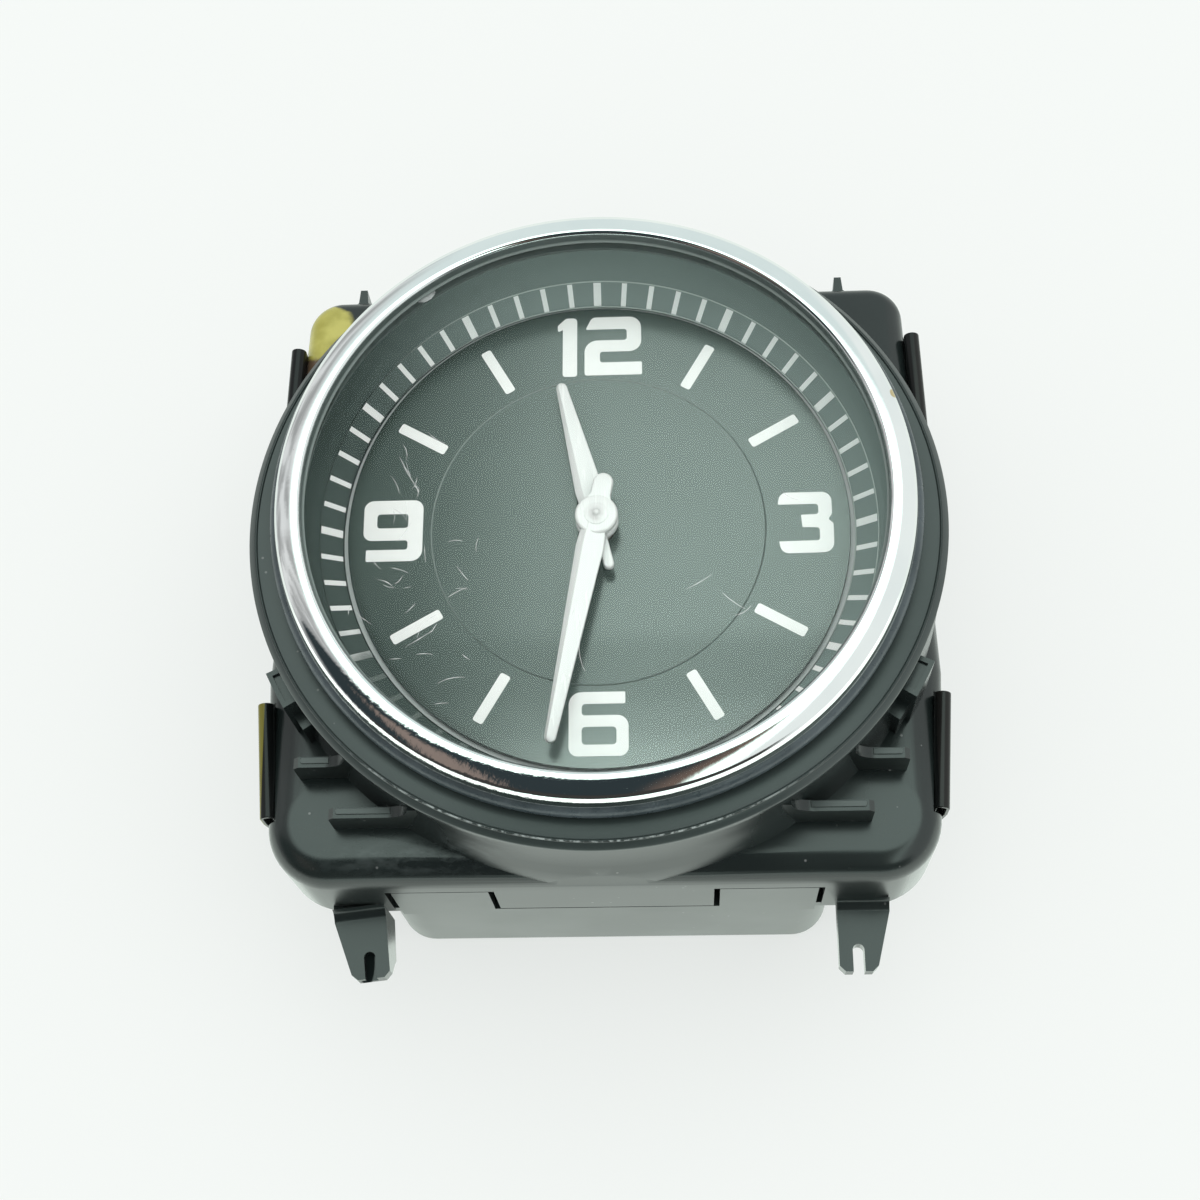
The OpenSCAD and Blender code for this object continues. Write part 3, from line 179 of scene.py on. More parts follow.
class Mat(Tree):
    """A material around one Principled shader, with its object coordinates at hand."""

    def __init__(self, name, color, rough, metal=0.0, **sockets):
        self.mat = bpy.data.materials.new(name)
        self.mat.use_nodes = True
        super().__init__(self.mat.node_tree)
        self.bsdf = self.tree.nodes["Principled BSDF"]
        self.set("Base Color", (*color, 1))
        self.set("Roughness", rough)
        self.set("Metallic", metal)
        for socket, value in sockets.items():
            self.set(socket.replace("_", " "), value)
        self.coord = self.node("ShaderNodeTexCoord").outputs["Object"]
        self.normal = None
        self.layers = []

    def set(self, socket, value):
        self.put(self.bsdf.inputs[socket], value)

    def cells(self, scale):
        return self.node("ShaderNodeTexVoronoi", {"Vector": self.coord, "Scale": scale}).outputs["Distance"]

    def axes(self):
        return self.split(self.coord)

    def polar(self):
        """Radius and angle around the dial axis."""
        x, y, _ = self.axes()
        return self.length(x, y), self.math("ARCTAN2", y, x)

    def tones(self, noise, dark, light):
        """Two tones that follow a noise."""
        return self.mix(self.step(noise, 0.3, 0.7), dark, light)

    def color(self, *layers):
        """Base colour: the first layer, with (factor, colour) layers over it."""
        base = layers[0]
        for fac, over in layers[1:]:
            base = self.mix(fac, base, over)
        self.set("Base Color", base)
        return self

    def rough(self, fac, low, high):
        self.set("Roughness", self.step(fac, 0.25, 0.75, low, high))

    def bump(self, height, strength, distance):
        ins = {"Height": height, "Strength": strength, "Distance": distance}
        if self.normal:
            ins["Normal"] = self.normal
        self.normal = self.node("ShaderNodeBump", ins).outputs[0]
        self.set("Normal", self.normal)

    def blend(self, share, below, above):
        """Two shaders mixed by the share of the upper one."""
        return self.node("ShaderNodeMixShader", {0: share, 1: below.outputs[0], 2: above.outputs[0]})

    def surface(self, shader):
        self.tree.links.new(shader.outputs[0], self.tree.nodes["Material Output"].inputs["Surface"])


def paint(obj, material):
    obj.data.materials.clear()
    obj.data.materials.append(material.mat)
    return obj


# Mesh helpers; all sizes given to them are millimetres


def add(name, mesh, body="case", smooth=35):
    """New piece that rides on a body; edges over the smooth angle stay sharp, and 0 leaves it flat."""
    obj = bpy.data.objects.new(name, mesh)
    scene.collection.objects.link(obj)
    if smooth:
        mesh.polygons.foreach_set("use_smooth", [True] * len(mesh.polygons))
        mesh.set_sharp_from_angle(angle=math.radians(smooth))
    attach(obj, body)
    return obj


def mesh_of(name, verts, faces):
    mesh = bpy.data.meshes.new(name)
    mesh.from_pydata([[c * MM for c in v] for v in verts], [], faces)
    bm = bmesh.new()
    bm.from_mesh(mesh)
    bmesh.ops.recalc_face_normals(bm, faces=bm.faces)
    bm.to_mesh(mesh)
    bm.free()
    return mesh


def on_circle(r, degrees):
    a = math.radians(degrees)
    return r * math.cos(a), r * math.sin(a)


def arc(cx, cz, r, a0, a1, n=8):
    """Points of an arc in the profile plane, angles in degrees."""
    points = [on_circle(r, a0 + (a1 - a0) * i / n) for i in range(n + 1)]
    return [(cx + x, cz + z) for x, z in points]


def lathe(name, profile, segments=256, place=None):
    """Closed profile of (radius, height) points turned round the dial axis."""
    n = len(profile)
    verts, faces = [], []
    for s in range(segments):
        a = 2 * math.pi * s / segments
        for r, z in profile:
            v = Vector((r * math.cos(a), r * math.sin(a), z))
            verts.append(place @ v if place else v)
    for s in range(segments):
        t = (s + 1) % segments
        for i in range(n):
            j = (i + 1) % n
            faces.append((s * n + i, t * n + i, t * n + j, s * n + j))
    return mesh_of(name, verts, faces)


def rounded(points, steps=6):
    """Outline from (x, y, radius) corners, each rounded by its radius."""
    out = []
    n = len(points)
    for i, (x, y, r) in enumerate(points):
        p = Vector((x, y))
        a = (Vector(points[i - 1][:2]) - p).normalized()
        b = (Vector(points[(i + 1) % n][:2]) - p).normalized()
        if r <= 0:
            out.append((x, y))
            continue
        half = a.angle(b) / 2
        cut = r / math.tan(half)
        c = p + (a + b).normalized() * (r / math.sin(half))
        p0, p1 = p + a * cut - c, p + b * cut - c
        a0 = math.atan2(p0.y, p0.x)
        d = math.atan2(p0.x * p1.y - p0.y * p1.x, p0.dot(p1))
        out += [(c.x + r * math.cos(a0 + d * k / steps), c.y + r * math.sin(a0 + d * k / steps))
                for k in range(steps + 1)]
    return out


def flat_print(name, outlines, z, thick, bevel=0.0):
    """Flat mesh with thickness from closed outlines; an outline inside another is a hole."""
    curve = bpy.data.curves.new(name, "CURVE")
    curve.dimensions, curve.fill_mode = "2D", "BOTH"
    curve.extrude = (thick / 2 - bevel) * MM
    curve.bevel_depth = bevel * MM
    curve.bevel_resolution = 1
    for outline in outlines:
        line = curve.splines.new("POLY")
        line.points.add(len(outline) - 1)
        for p, (x, y) in zip(line.points, outline):
            p.co = (x * MM, y * MM, 0, 1)
        line.use_cyclic_u = True
    temp = bpy.data.objects.new(name, curve)
    scene.collection.objects.link(temp)
    bpy.context.view_layer.update()
    mesh = bpy.data.meshes.new_from_object(temp.evaluated_get(bpy.context.evaluated_depsgraph_get()))
    bpy.data.objects.remove(temp)
    bpy.data.curves.remove(curve)
    mesh.name = name
    mesh.transform(Matrix.Translation((0, 0, (z + thick / 2) * MM)))
    return mesh


def turned(points, angle):
    """Points turned clockwise round the axis."""
    a = math.radians(-angle)
    return [(x * math.cos(a) - y * math.sin(a), x * math.sin(a) + y * math.cos(a)) for x, y in points]


# Materials


def moulded(name, dark, light, rough, grain=0.02, sheen=0.02, dust=0.3):
    """Moulded plastic: slightly uneven tone and gloss, faint grain and a little dust."""
    m = Mat(name, dark, rough, IOR=1.55, Sheen_Weight=sheen, Sheen_Roughness=0.35)
    tone = m.step(m.noise(60, 4), 0.35, 0.68)
    dots = m.mul(m.step(m.cells(520), 0.05, 0.085, 1, 0), m.step(m.noise(60, 2), 0.5, 0.62, 0, dust))
    m.layers = [m.mix(tone, dark, light), (dots, (0.42, 0.43, 0.42))]
    m.color(*m.layers)
    m.rough(m.noise(90, 3), rough - 0.015, rough + 0.02)
    if grain:
        m.bump(m.noise(2600, 2), grain, 0.00004)
    return m


def blot(m, cx, cy, rx, ry, edge=0.35, wobble=0.5):
    """Mask of an uneven round patch; centre and radii in millimetres."""
    x, y, _ = m.axes()
    u = m.mul(m.math("SUBTRACT", x, cx * MM), 1 / (rx * MM))
    v = m.mul(m.math("SUBTRACT", y, cy * MM), 1 / (ry * MM))
    d = m.add(m.length(u, v), m.mul(m.math("SUBTRACT", m.noise(420, 3), 0.5), wobble))
    return m.step(d, 1 - edge / 2, 1 + edge / 2, 1, 0)


def painted_reflection(m):
    """Painted reflection of the soft light in the face, its strength set by place: faint on the left, weak in a
    band above 6 o'clock.
    """
    x, y, _ = m.axes()
    (left, faint), (right, strong) = PAINTED_REFLECTION_LEFT, PAINTED_REFLECTION_RIGHT
    amount = m.step(x, left * MM, right * MM, faint, strong)
    for start, end, factor in PAINTED_REFLECTION_BANDS:
        amount = m.mul(amount, m.step(y, start * MM, end * MM, 1, factor))
    m.set("IOR", SATIN_IOR)
    m.set("Specular IOR Level", amount)
    return m


def housing_material():
    """Black shell with the paint dab, stains and worn patches that show in the photograph; the worn patch on the
    lower left edge is also lightened as a painted highlight, and the leg's slot loses its reflection as painted
    shade.
    """
    m = moulded("housing", (0.009, 0.014, 0.0135), (0.013, 0.019, 0.018), 0.23)
    # Worn patch on the lower left edge, lightened: wear and a painted highlight in one.
    worn = m.mul(blot(m, *WORN_EDGE_AND_HIGHLIGHT, 1.2), m.step(m.noise(1300, 3, (0.5, 1, 1)), 0.4, 0.7, 0, 0.5))
    yellow = m.tones(m.noise(350, 4), (0.34, 0.32, 0.06), (0.50, 0.475, 0.12))
    m.color(*m.layers, (m.mul(worn, 0.6), (0.10, 0.12, 0.117)),
            (m.mul(blot(m, *STAIN, 0.5), 0.7), (0.13, 0.085, 0.05)), (blot(m, *PAINT_DAB, 0.2), yellow))
    facing_y = m.split(m.node("ShaderNodeNewGeometry").outputs["Normal"])[1]
    m.set("Roughness", m.add(m.step(facing_y, -0.85, -0.97, 0.22, 0.36), m.mul(m.noise(90, 3), 0.03)))
    # Painted shade: the leg's slot, below LEG_SLOT_TOP, loses its reflection.
    low = m.step(m.axes()[2], LEG_SLOT_TOP * MM, (LEG_SLOT_TOP + 0.4) * MM, 1, 0)
    slot = m.mul(blot(m, *LEG_SLOT, 0.3, 0.0), low)
    m.set("Specular IOR Level", m.step(slot, 0.0, 1.0, 0.5, 0.0))
    return m


def clip_material(name, node, tint, depth, low_y, high_y):
    """Blackened spring strip whose outer edge has worn to another colour."""
    m = moulded(name, (0.004, 0.005, 0.005), (0.007, 0.008, 0.008), 0.2, 0)
    x, y, _ = m.axes()
    m.set("Specular IOR Level", 0.22)
    edge_x = max(abs(v.x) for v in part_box(node)) / MM - depth
    lean = m.mul(m.math("SUBTRACT", high_y * MM, y), 0.025)
    outside = m.step(m.add(m.math("ABSOLUTE", x), lean), (edge_x - 0.08) * MM, (edge_x + 0.05) * MM)
    span = m.mul(m.step(y, (low_y - 0.6) * MM, low_y * MM), m.step(y, high_y * MM, (high_y + 0.6) * MM, 1, 0))
    worn = m.mul(m.mul(outside, span), m.step(m.noise(500, 4, (1, 0.3, 0.3)), 0.25, 0.5, 0.5, 1))
    return m.color(*m.layers, (worn, tint))


def rim_material():
    """Rim of the flange, with glints painted along its lower side as painted highlights."""
    m = moulded("flange_rim", (0.014, 0.020, 0.019), (0.019, 0.026, 0.025), 0.35, 0.2)
    painted_glints = m.mul(blot(m, -4, -34, 22, 12, 0.8), m.step(m.noise(1700, 3), 0.42, 0.62))
    return m.color(*m.layers, (painted_glints, (0.30, 0.34, 0.33)))


def lip_material():
    """Liner of the bezel's bore, grey as a painted reflection and lighter on its ridge as a painted highlight."""
    m = moulded("bezel_lip", (0.08, 0.104, 0.098), (0.095, 0.122, 0.115), 0.5, 0)
    z = m.axes()[2]
    foot, crest = (LIP_RIDGE - LIP_RIDGE_R) * MM, LIP_RIDGE * MM
    fall, end = (LIP_RIDGE + 0.4 * LIP_RIDGE_R) * MM, (LIP_RIDGE + 1.4 * LIP_RIDGE_R) * MM
    return m.color(*m.layers, (m.mul(m.step(z, foot, crest), m.step(z, end, fall)), (0.22, 0.265, 0.25)))


def metal(name, color, rough):
    """Bare or plated metal with fine drawing marks."""
    m = Mat(name, color, rough, 1.0)
    marks = m.noise(900, 4, (1, 1, 0.08))
    m.color(m.tones(marks, tuple(c * 0.86 for c in color), color))
    m.rough(marks, rough * 0.7, rough * 1.4)
    m.bump(marks, 0.05, 0.00003)
    return m


def chrome_material():
    """Polished plating with faint swirls, pits, one speck and a roughened lower left."""
    m = Mat("chrome", (0.90, 0.91, 0.91), 0.05, 1.0)
    r, a = m.polar()
    streaks = m.noise(420, 4, vector=m.vector(m.mul(r, 5.0), m.mul(a, 0.012)))
    pit = m.mul(m.step(m.cells(900), 0.04, 0.07, 1, 0), m.step(m.noise(90, 2), 0.56, 0.66, 0, 0.5))
    speck = blot(m, 30.1, 9.9, 0.35, 0.5, 0.4)
    m.color(m.tones(m.noise(140, 3), (0.87, 0.885, 0.885), (0.93, 0.935, 0.93)),
            (pit, (0.5, 0.48, 0.44)), (speck, (0.62, 0.50, 0.28)))
    m.rough(streaks, 0.035, 0.08)
    m.bump(m.noise(420, 3), 0.10, 0.0001)
    m.bump(m.noise(1100, 5), m.step(blot(m, -16, -26, 15, 8, 1.0), 0, 1, 0, 0.4), 0.0001)
    m.bump(m.noise(1500, 2), 0.04, 0.00005)
    return m


def bead_material():
    m = Mat("bead", (0.010, 0.011, 0.012), 0.22, IOR=1.5)
    m.color(m.tones(m.noise(200, 4), (0.034, 0.048, 0.053), (0.060, 0.078, 0.086)))
    m.rough(m.noise(800, 3), 0.24, 0.42)
    m.bump(m.noise(2200, 3), 0.5, 0.0001)
    return m


def dial_material():
    """Dark face with fine turned rings, and painted shade under the minute ring's edge."""
    m = painted_reflection(Mat("dial", (0.06, 0.085, 0.077), 0.2))
    r, _ = m.polar()
    rings = m.noise(2600, 2, vector=m.vector(r))
    m.color(m.tones(m.noise(45, 3), (0.056, 0.079, 0.072), (0.064, 0.089, 0.081)),
            (m.step(rings, 0.4, 0.75, 0, 0.2), (0.075, 0.102, 0.093)),
            (m.step(r, 24.6 * MM, 26.3 * MM, 0, 0.6), (0.018, 0.026, 0.024)))
    m.rough(rings, 0.17, 0.23)
    return m


def white_material():
    """Ink of the numerals and hour bars."""
    color = (0.91, 0.925, 0.91)
    m = painted_reflection(Mat("print_white", color, 0.25))
    return m.color(m.tones(m.noise(900, 3), tuple(c * 0.97 for c in color), color))


def shaded_print(name, near, far, turn, low, high):
    """Print with painted light and shade: it goes from one colour to another across the dial, far colour towards
    turn degrees from 12.
    """
    m = Mat(name, near, 0.6, Specular_IOR_Level=0.1)
    x, y, _ = m.axes()
    a = math.radians(turn)
    along = m.add(m.mul(x, math.sin(a) / MM), m.mul(y, math.cos(a) / MM))
    uneven = m.mul(m.math("SUBTRACT", m.noise(700, 2), 0.5), 0.2)
    m.layers = [m.mix(m.add(m.step(along, low, high), uneven, clamp=True), near, far)]
    return m.color(*m.layers)


def tick_material():
    """Minute ticks with painted shade: dim at the lower left, and a little darker towards the upper right."""
    m = shaded_print("print_tick", (0.93, 0.94, 0.93), (0.84, 0.90, 0.88), 35, -4, 20)
    return m.color(*m.layers, (blot(m, -18.5, -20.5, 10, 10, 0.6), (0.14, 0.17, 0.16)))


def hand_material():
    m = Mat("hand", (0.74, 0.76, 0.75), 0.25, IOR=SATIN_IOR)
    brush = m.noise(1500, 3, (1, 0.1, 1))
    m.color(m.tones(brush, (0.76, 0.78, 0.77), (0.80, 0.815, 0.805)))
    m.rough(brush, 0.2, 0.3)
    return m


def board_material():
    """Green circuit board with raised lanes."""
    m = Mat("board", (0.03, 0.13, 0.07), 0.4)
    pitch = m.math("PINGPONG", m.axes()[0], 0.0012)
    lanes = m.mul(m.step(pitch, 0.00035, 0.0005), m.step(m.noise(260, 1, (1, 0.15, 1)), 0.5, 0.56))
    m.color(m.tones(m.noise(150, 3), (0.025, 0.11, 0.06), (0.035, 0.15, 0.08)), (lanes, (0.06, 0.24, 0.12)))
    m.bump(lanes, 0.2, 0.00003)
    return m


def led_material():
    m = Mat("led", (0.85, 0.80, 0.55), 0.25)
    m.color(m.mix(m.step(m.noise(900, 2), 0.4, 0.6), (0.80, 0.74, 0.45), (0.88, 0.85, 0.66)))
    m.rough(m.noise(1400, 2), 0.2, 0.35)
    return m


def mark_material(name, color, alpha):
    """Scratches and flakes in the lens: partly clear."""
    m = Mat(name, color, 0.5)
    m.set("Alpha", m.step(m.noise(1200, 3), 0.3, 0.7, alpha * 0.4, alpha))
    return m


def lens_material():
    """Clear lens that reflects at grazing angles, slightly hazy."""
    m = Mat("lens_clear", (0.97, 0.98, 0.975), 0.05, 1.0)
    haze = {"Value": m.noise(90, 4), "From Min": 0.35, "From Max": 0.7, "To Min": 0.02, "To Max": 0.07}
    m.set("Roughness", m.node("ShaderNodeMapRange", haze).outputs[0])
    grazing = m.math("POWER", m.node("ShaderNodeLayerWeight").outputs["Facing"], 5.0)
    clear = m.node("ShaderNodeBsdfTransparent", {"Color": (0.985, 0.99, 0.985, 1)})
    m.surface(m.blend(m.math("MULTIPLY_ADD", grazing, 0.99, 0.004), clear, m.bsdf))
    return m


HOUSING = housing_material()
FLANGE = moulded("flange", (0.026, 0.037, 0.035), (0.034, 0.046, 0.044), 0.3, 0.1)
# Rib tops lighter than the shell: painted light on their upper faces.
RIB_TOP = moulded("rib_top", (0.035, 0.045, 0.043), (0.05, 0.062, 0.059), 0.3, 0)
COVER = moulded("cover", (0.011, 0.018, 0.016), (0.015, 0.023, 0.021), 0.36, 0.0)
CLIP_LL = clip_material("clip_worn_low", "clip_lower_left", (0.16, 0.145, 0.025), 0.75, -40, -12)
CLIP_UL = clip_material("clip_worn_high", "clip_upper_left", (0.15, 0.12, 0.03), 0.4, 10, 17)
CLIP_R = clip_material("clip_black", "clip_lower_right", (0.012, 0.012, 0.011), 0.3, -40, 40)
RIM, LIP = rim_material(), lip_material()
# Gasket grey rather than black: a painted reflection where it shows through the lens.
GASKET = moulded("gasket", (0.15, 0.19, 0.18), (0.18, 0.22, 0.21), 0.55, 0)
GUIDE = moulded("light_guide", (0.55, 0.58, 0.58), (0.62, 0.65, 0.65), 0.25, 0.02, 0.0, 0.0)
MOVEMENT = moulded("movement", (0.30, 0.30, 0.29), (0.36, 0.36, 0.34), 0.4, 0.05, 0.05, 0.1)
GEAR = moulded("gear", (0.62, 0.60, 0.52), (0.70, 0.68, 0.60), 0.4, 0.04, 0.0, 0.0)
HEADER = moulded("header", (0.030, 0.030, 0.032), (0.042, 0.042, 0.044), 0.4, 0.04)
CHIP = moulded("chip", (0.014, 0.014, 0.015), (0.022, 0.022, 0.023), 0.5, 0.05)
BRASS = metal("brass", (0.72, 0.52, 0.22), 0.28)
BUSH = metal("bush", (0.09, 0.085, 0.07), 0.4)
STEEL = metal("steel", (0.56, 0.57, 0.58), 0.25)
SCREW = metal("screw", (0.50, 0.51, 0.52), 0.3)
MOTOR = metal("motor", (0.42, 0.43, 0.45), 0.35)
CAN = metal("can", (0.62, 0.63, 0.65), 0.3)
CONTACT = metal("contact", (0.74, 0.72, 0.66), 0.22)
CHROME, BEAD, DIAL, HAND = chrome_material(), bead_material(), dial_material(), hand_material()
BOARD, LED, LENS = board_material(), led_material(), lens_material()
WHITE, TICK = white_material(), tick_material()
# Painted light: the ring is lighter towards the upper right, its edge beads are light only towards the upper right
# as a painted highlight, and the fine circle is lighter towards the upper left.
RING = shaded_print("ring", (0.062, 0.086, 0.080), (0.22, 0.285, 0.27), 60, -20, 10)
RING_EDGE = shaded_print("ring_edge", (0.03, 0.042, 0.039), (0.50, 0.58, 0.55), 40, -6, 18)
LINE = shaded_print("print_line", (0.10, 0.13, 0.12), (0.22, 0.265, 0.25), -30, -8, 12)
SCRATCH = mark_material("scratch", (0.9, 0.92, 0.91), 0.65)
FLAKE = mark_material("flake", (0.6, 0.64, 0.63), 0.6)

for node, material in {
    "front_housing": HOUSING, "rear_cover": COVER, "lens_gasket": GASKET, "light_guide": GUIDE,
    "movement_plate": MOVEMENT, "movement_bridge": MOVEMENT, "movement_screws": SCREW, "centre_bush": BUSH,
    "motion_stud": STEEL, "reduction_stud": STEEL, "stepper_motor": MOTOR, "motor_pinion": BRASS,
    "reduction_wheel": GEAR, "centre_wheel": GEAR, "motion_wheel": GEAR, "hour_wheel": GEAR,
    "hour_hand": HAND, "minute_hand": HAND, "hand_cap": HAND, "circuit_board": BOARD, "board_screws": SCREW,
    "dial_leds": LED, "microcontroller": CHIP, "capacitor": CAN, "connector_header": HEADER,
    "connector_contacts": CONTACT, "clip_upper_left": CLIP_UL, "clip_upper_right": CLIP_R,
    "clip_lower_left": CLIP_LL, "clip_lower_right": CLIP_R, "dial_plate": DIAL, "minute_ring": RING,
    "bezel_bead": BEAD, "chrome_bezel": CHROME,
}.items():
    paint(NODES[node], material)


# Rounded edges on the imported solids


def crisp_group(limit=33):
    """Modifier group that shades smooth but keeps every edge over the limit, in degrees, sharp."""
    g = bpy.data.node_groups.new("crisp", "GeometryNodeTree")
    for way in ("INPUT", "OUTPUT"):
        g.interface.new_socket("Geometry", in_out=way, socket_type="NodeSocketGeometry")
    start, end = g.nodes.new("NodeGroupInput"), g.nodes.new("NodeGroupOutput")
    over = g.nodes.new("FunctionNodeCompare")
    over.data_type, over.operation = "FLOAT", "GREATER_THAN"
    over.inputs[1].default_value = math.radians(limit)
    g.links.new(g.nodes.new("GeometryNodeInputMeshEdgeAngle").outputs[0], over.inputs[0])
    faces, edges = g.nodes.new("GeometryNodeSetShadeSmooth"), g.nodes.new("GeometryNodeSetShadeSmooth")
    faces.domain, edges.domain = "FACE", "EDGE"
    faces.inputs["Shade Smooth"].default_value, edges.inputs["Shade Smooth"].default_value = True, False
    g.links.new(start.outputs[0], faces.inputs[0])
    g.links.new(faces.outputs[0], edges.inputs[0])
    g.links.new(over.outputs[0], edges.inputs["Selection"])
    g.links.new(edges.outputs[0], end.inputs[0])
    return g


CRISP = crisp_group()


def soften(node, width, angle=38):
    """Rounded edges by modifiers only; the mesh stays as it is."""
    weld_distance, flat_angle, segments = 2e-6, 0.05, 2
    obj = NODES[node]
    obj.modifiers.new("weld", "WELD").merge_threshold = weld_distance
    flat = obj.modifiers.new("flat", "DECIMATE")
    flat.decimate_type, flat.angle_limit = "DISSOLVE", math.radians(flat_angle)
    obj.modifiers.new("crisp", "NODES").node_group = CRISP
    bevel = obj.modifiers.new("bevel", "BEVEL")
    bevel.width, bevel.segments = width * MM, segments
    bevel.limit_method, bevel.angle_limit = "ANGLE", math.radians(angle)
    bevel.harden_normals = True


soften("front_housing", 0.16, 22)
soften("rear_cover", 0.2)
for node in ("clip_upper_left", "clip_upper_right", "clip_lower_left", "clip_lower_right"):
    soften(node, 0.1)


# Round stack


def bezel():
    """Crown that bends evenly to a tight shoulder, then a steep skirt; and the liner in its bore."""
    lip_r, crown_r, shoulder_r, edge = 0.45, 3.2, 0.9, 0.1
    skirt_deg, knee_deg = 17, 53
    knee = math.radians(90 - knee_deg)
    px = BEZEL_IN_R + lip_r + crown_r * math.sin(knee)
    pz = Z_TOP - crown_r * (1 - math.cos(knee))
    cx, cz = px - shoulder_r * math.sin(knee), pz - shoulder_r * math.cos(knee)
    profile = [(BEZEL_R - 0.75, Z_BEZEL), (BEZEL_R - edge, Z_BEZEL), (BEZEL_R, Z_BEZEL + edge),
               (BEZEL_R, Z_BEZEL + 0.4)]
    profile += arc(cx, cz, shoulder_r, skirt_deg, knee_deg, 8)
    profile += arc(BEZEL_IN_R + lip_r, Z_TOP - crown_r, crown_r, knee_deg, 90, 16)[1:]
    profile += arc(BEZEL_IN_R + lip_r, Z_TOP - lip_r, lip_r, 90, 180, 9)[1:]
    profile += [(BEZEL_IN_R, Z_LIP + 0.15), (BEZEL_IN_R + edge, Z_LIP + 0.02), (LENS_R + 0.2, Z_LIP + 0.02),
                (LENS_R + 0.2, Z_BEZEL)]
    obj = add("bezel_ring", lathe("bezel_ring", profile, 320))
    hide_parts("chrome_bezel")
    paint(obj, CHROME)
    outer, inner = BEZEL_IN_R + 0.02, BEZEL_IN_R - 0.03
    lip = [(BEZEL_IN_R - 0.05, LIP_LOW), (outer, LIP_LOW), (outer, LIP_HIGH), (inner, LIP_HIGH)]
    lip += arc(inner, LIP_RIDGE, LIP_RIDGE_R, 90, 270, 8)
    paint(add("bezel_lip", lathe("bezel_lip", lip)), LIP)


def bead():
    inner, bulge = LENS_R + 0.25, 1.02
    profile = [(inner, Z_SEAT), (BEAD_R - 0.5, Z_SEAT)]
    profile += arc(BEAD_R - bulge, (Z_SEAT + Z_BEZEL) / 2, bulge, -72, 72, 14)
    profile += [(BEAD_R - 0.75, Z_BEZEL), (inner, Z_BEZEL)]
    obj = add("bead_ring", lathe("bead_ring", profile))
    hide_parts("bezel_bead")
    paint(obj, BEAD)


def flange_face():
    """Face of the flange, which leans back towards 12 o'clock, with a raised rim near its edge."""
    pivot = Vector((0, -BEAD_R, Z_SEAT))
    lean = Matrix.Rotation(-FLANGE_TILT, 4, "X")
    place = Matrix.Translation(pivot) @ lean @ Matrix.Translation((0, BEAD_R, 0))
    lift = 0.03
    profile = [(BEZEL_R + 0.08, -0.3), (BEZEL_R + 0.08, lift), (FLANGE_R - 1.0, lift),
               (FLANGE_R - 0.92, lift + 0.02)]
    profile += arc(FLANGE_R - 0.72, lift + 0.02, 0.17, 160, 20, 8)
    profile += [(FLANGE_R - 0.55, lift), (FLANGE_R, -0.38), (FLANGE_R + 0.03, -0.45), (FLANGE_R + 0.03, -0.8),
                (FLANGE_R - 0.04, -0.86), (FLANGE_R - 0.3, -0.86), (FLANGE_R - 0.6, -0.3)]
    paint(add("flange_face", lathe("flange_face", profile, place=place)), FLANGE)
    rim = arc(FLANGE_R - 0.66, lift + 0.13, 0.09, -30, 240, 8)
    paint(add("flange_rim", lathe("flange_rim", rim, place=place)), RIM)


def lens():
    n, edge = 192, 0.1
    verts, faces = [], []
    rings = ((LENS_R - edge, Z_LENS), (LENS_R, Z_LENS + edge), (LENS_R, Z_LIP - edge), (LENS_R - edge, Z_LIP))
    for r, z in rings:
        verts += [(r * math.cos(2 * math.pi * k / n), r * math.sin(2 * math.pi * k / n), z) for k in range(n)]
    for i in range(3):
        faces += [(i * n + k, i * n + (k + 1) % n, (i + 1) * n + (k + 1) % n, (i + 1) * n + k)
                  for k in range(n)]
    faces += [tuple(range(n)), tuple(range(3 * n, 4 * n))]
    obj = add("lens_disc", mesh_of("lens_disc", verts, faces))
    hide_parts("lens")
    paint(obj, LENS)


def dial():
    under = Z_DIAL - DIAL_THICK
    profile = [(HUB_HOLE_R, under), (DIAL_R, under), (DIAL_R, Z_DIAL - 0.06), (DIAL_R - 0.06, Z_DIAL),
               (HUB_HOLE_R + 0.1, Z_DIAL), (HUB_HOLE_R, Z_DIAL - 0.1)]
    obj = add("dial_disc", lathe("dial_disc", profile))
    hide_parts("dial_plate")
    paint(obj, DIAL)


def minute_ring():
    """Sloped ring with a wall above its knee, and a fine bead along both edges of the slope."""
    low, knee = Z_DIAL + RING_IN_H, Z_DIAL + KNEE_H
    profile = [(RING_IN_R, low - 0.25), (RING_IN_R, low - 0.04), (RING_IN_R + 0.05, low),
               (KNEE_R - 0.05, knee - 0.04), (KNEE_R + 0.02, knee + 0.04), (RING_WALL_R, Z_RING - 0.05),
               (RING_TOP_R, Z_RING), (RING_OUT_R, Z_RING), (RING_OUT_R, Z_RING - 0.6), (RING_FOOT_R, low - 0.25)]
    obj = add("ring_cone", lathe("ring_cone", profile))
    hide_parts("minute_ring")
    paint(obj, RING)
    # The edge beads take the ring_edge colours: a painted highlight towards the upper right.
    for name, r, z in (("ring_edge_inner", RING_IN_R + 0.05, low), ("ring_edge_outer", KNEE_R, knee)):
        paint(add(name, lathe(name, arc(r, z, 0.075, 0, 300, 7))), RING_EDGE)


# Prints: numerals as (x, y, corner radius) outlines

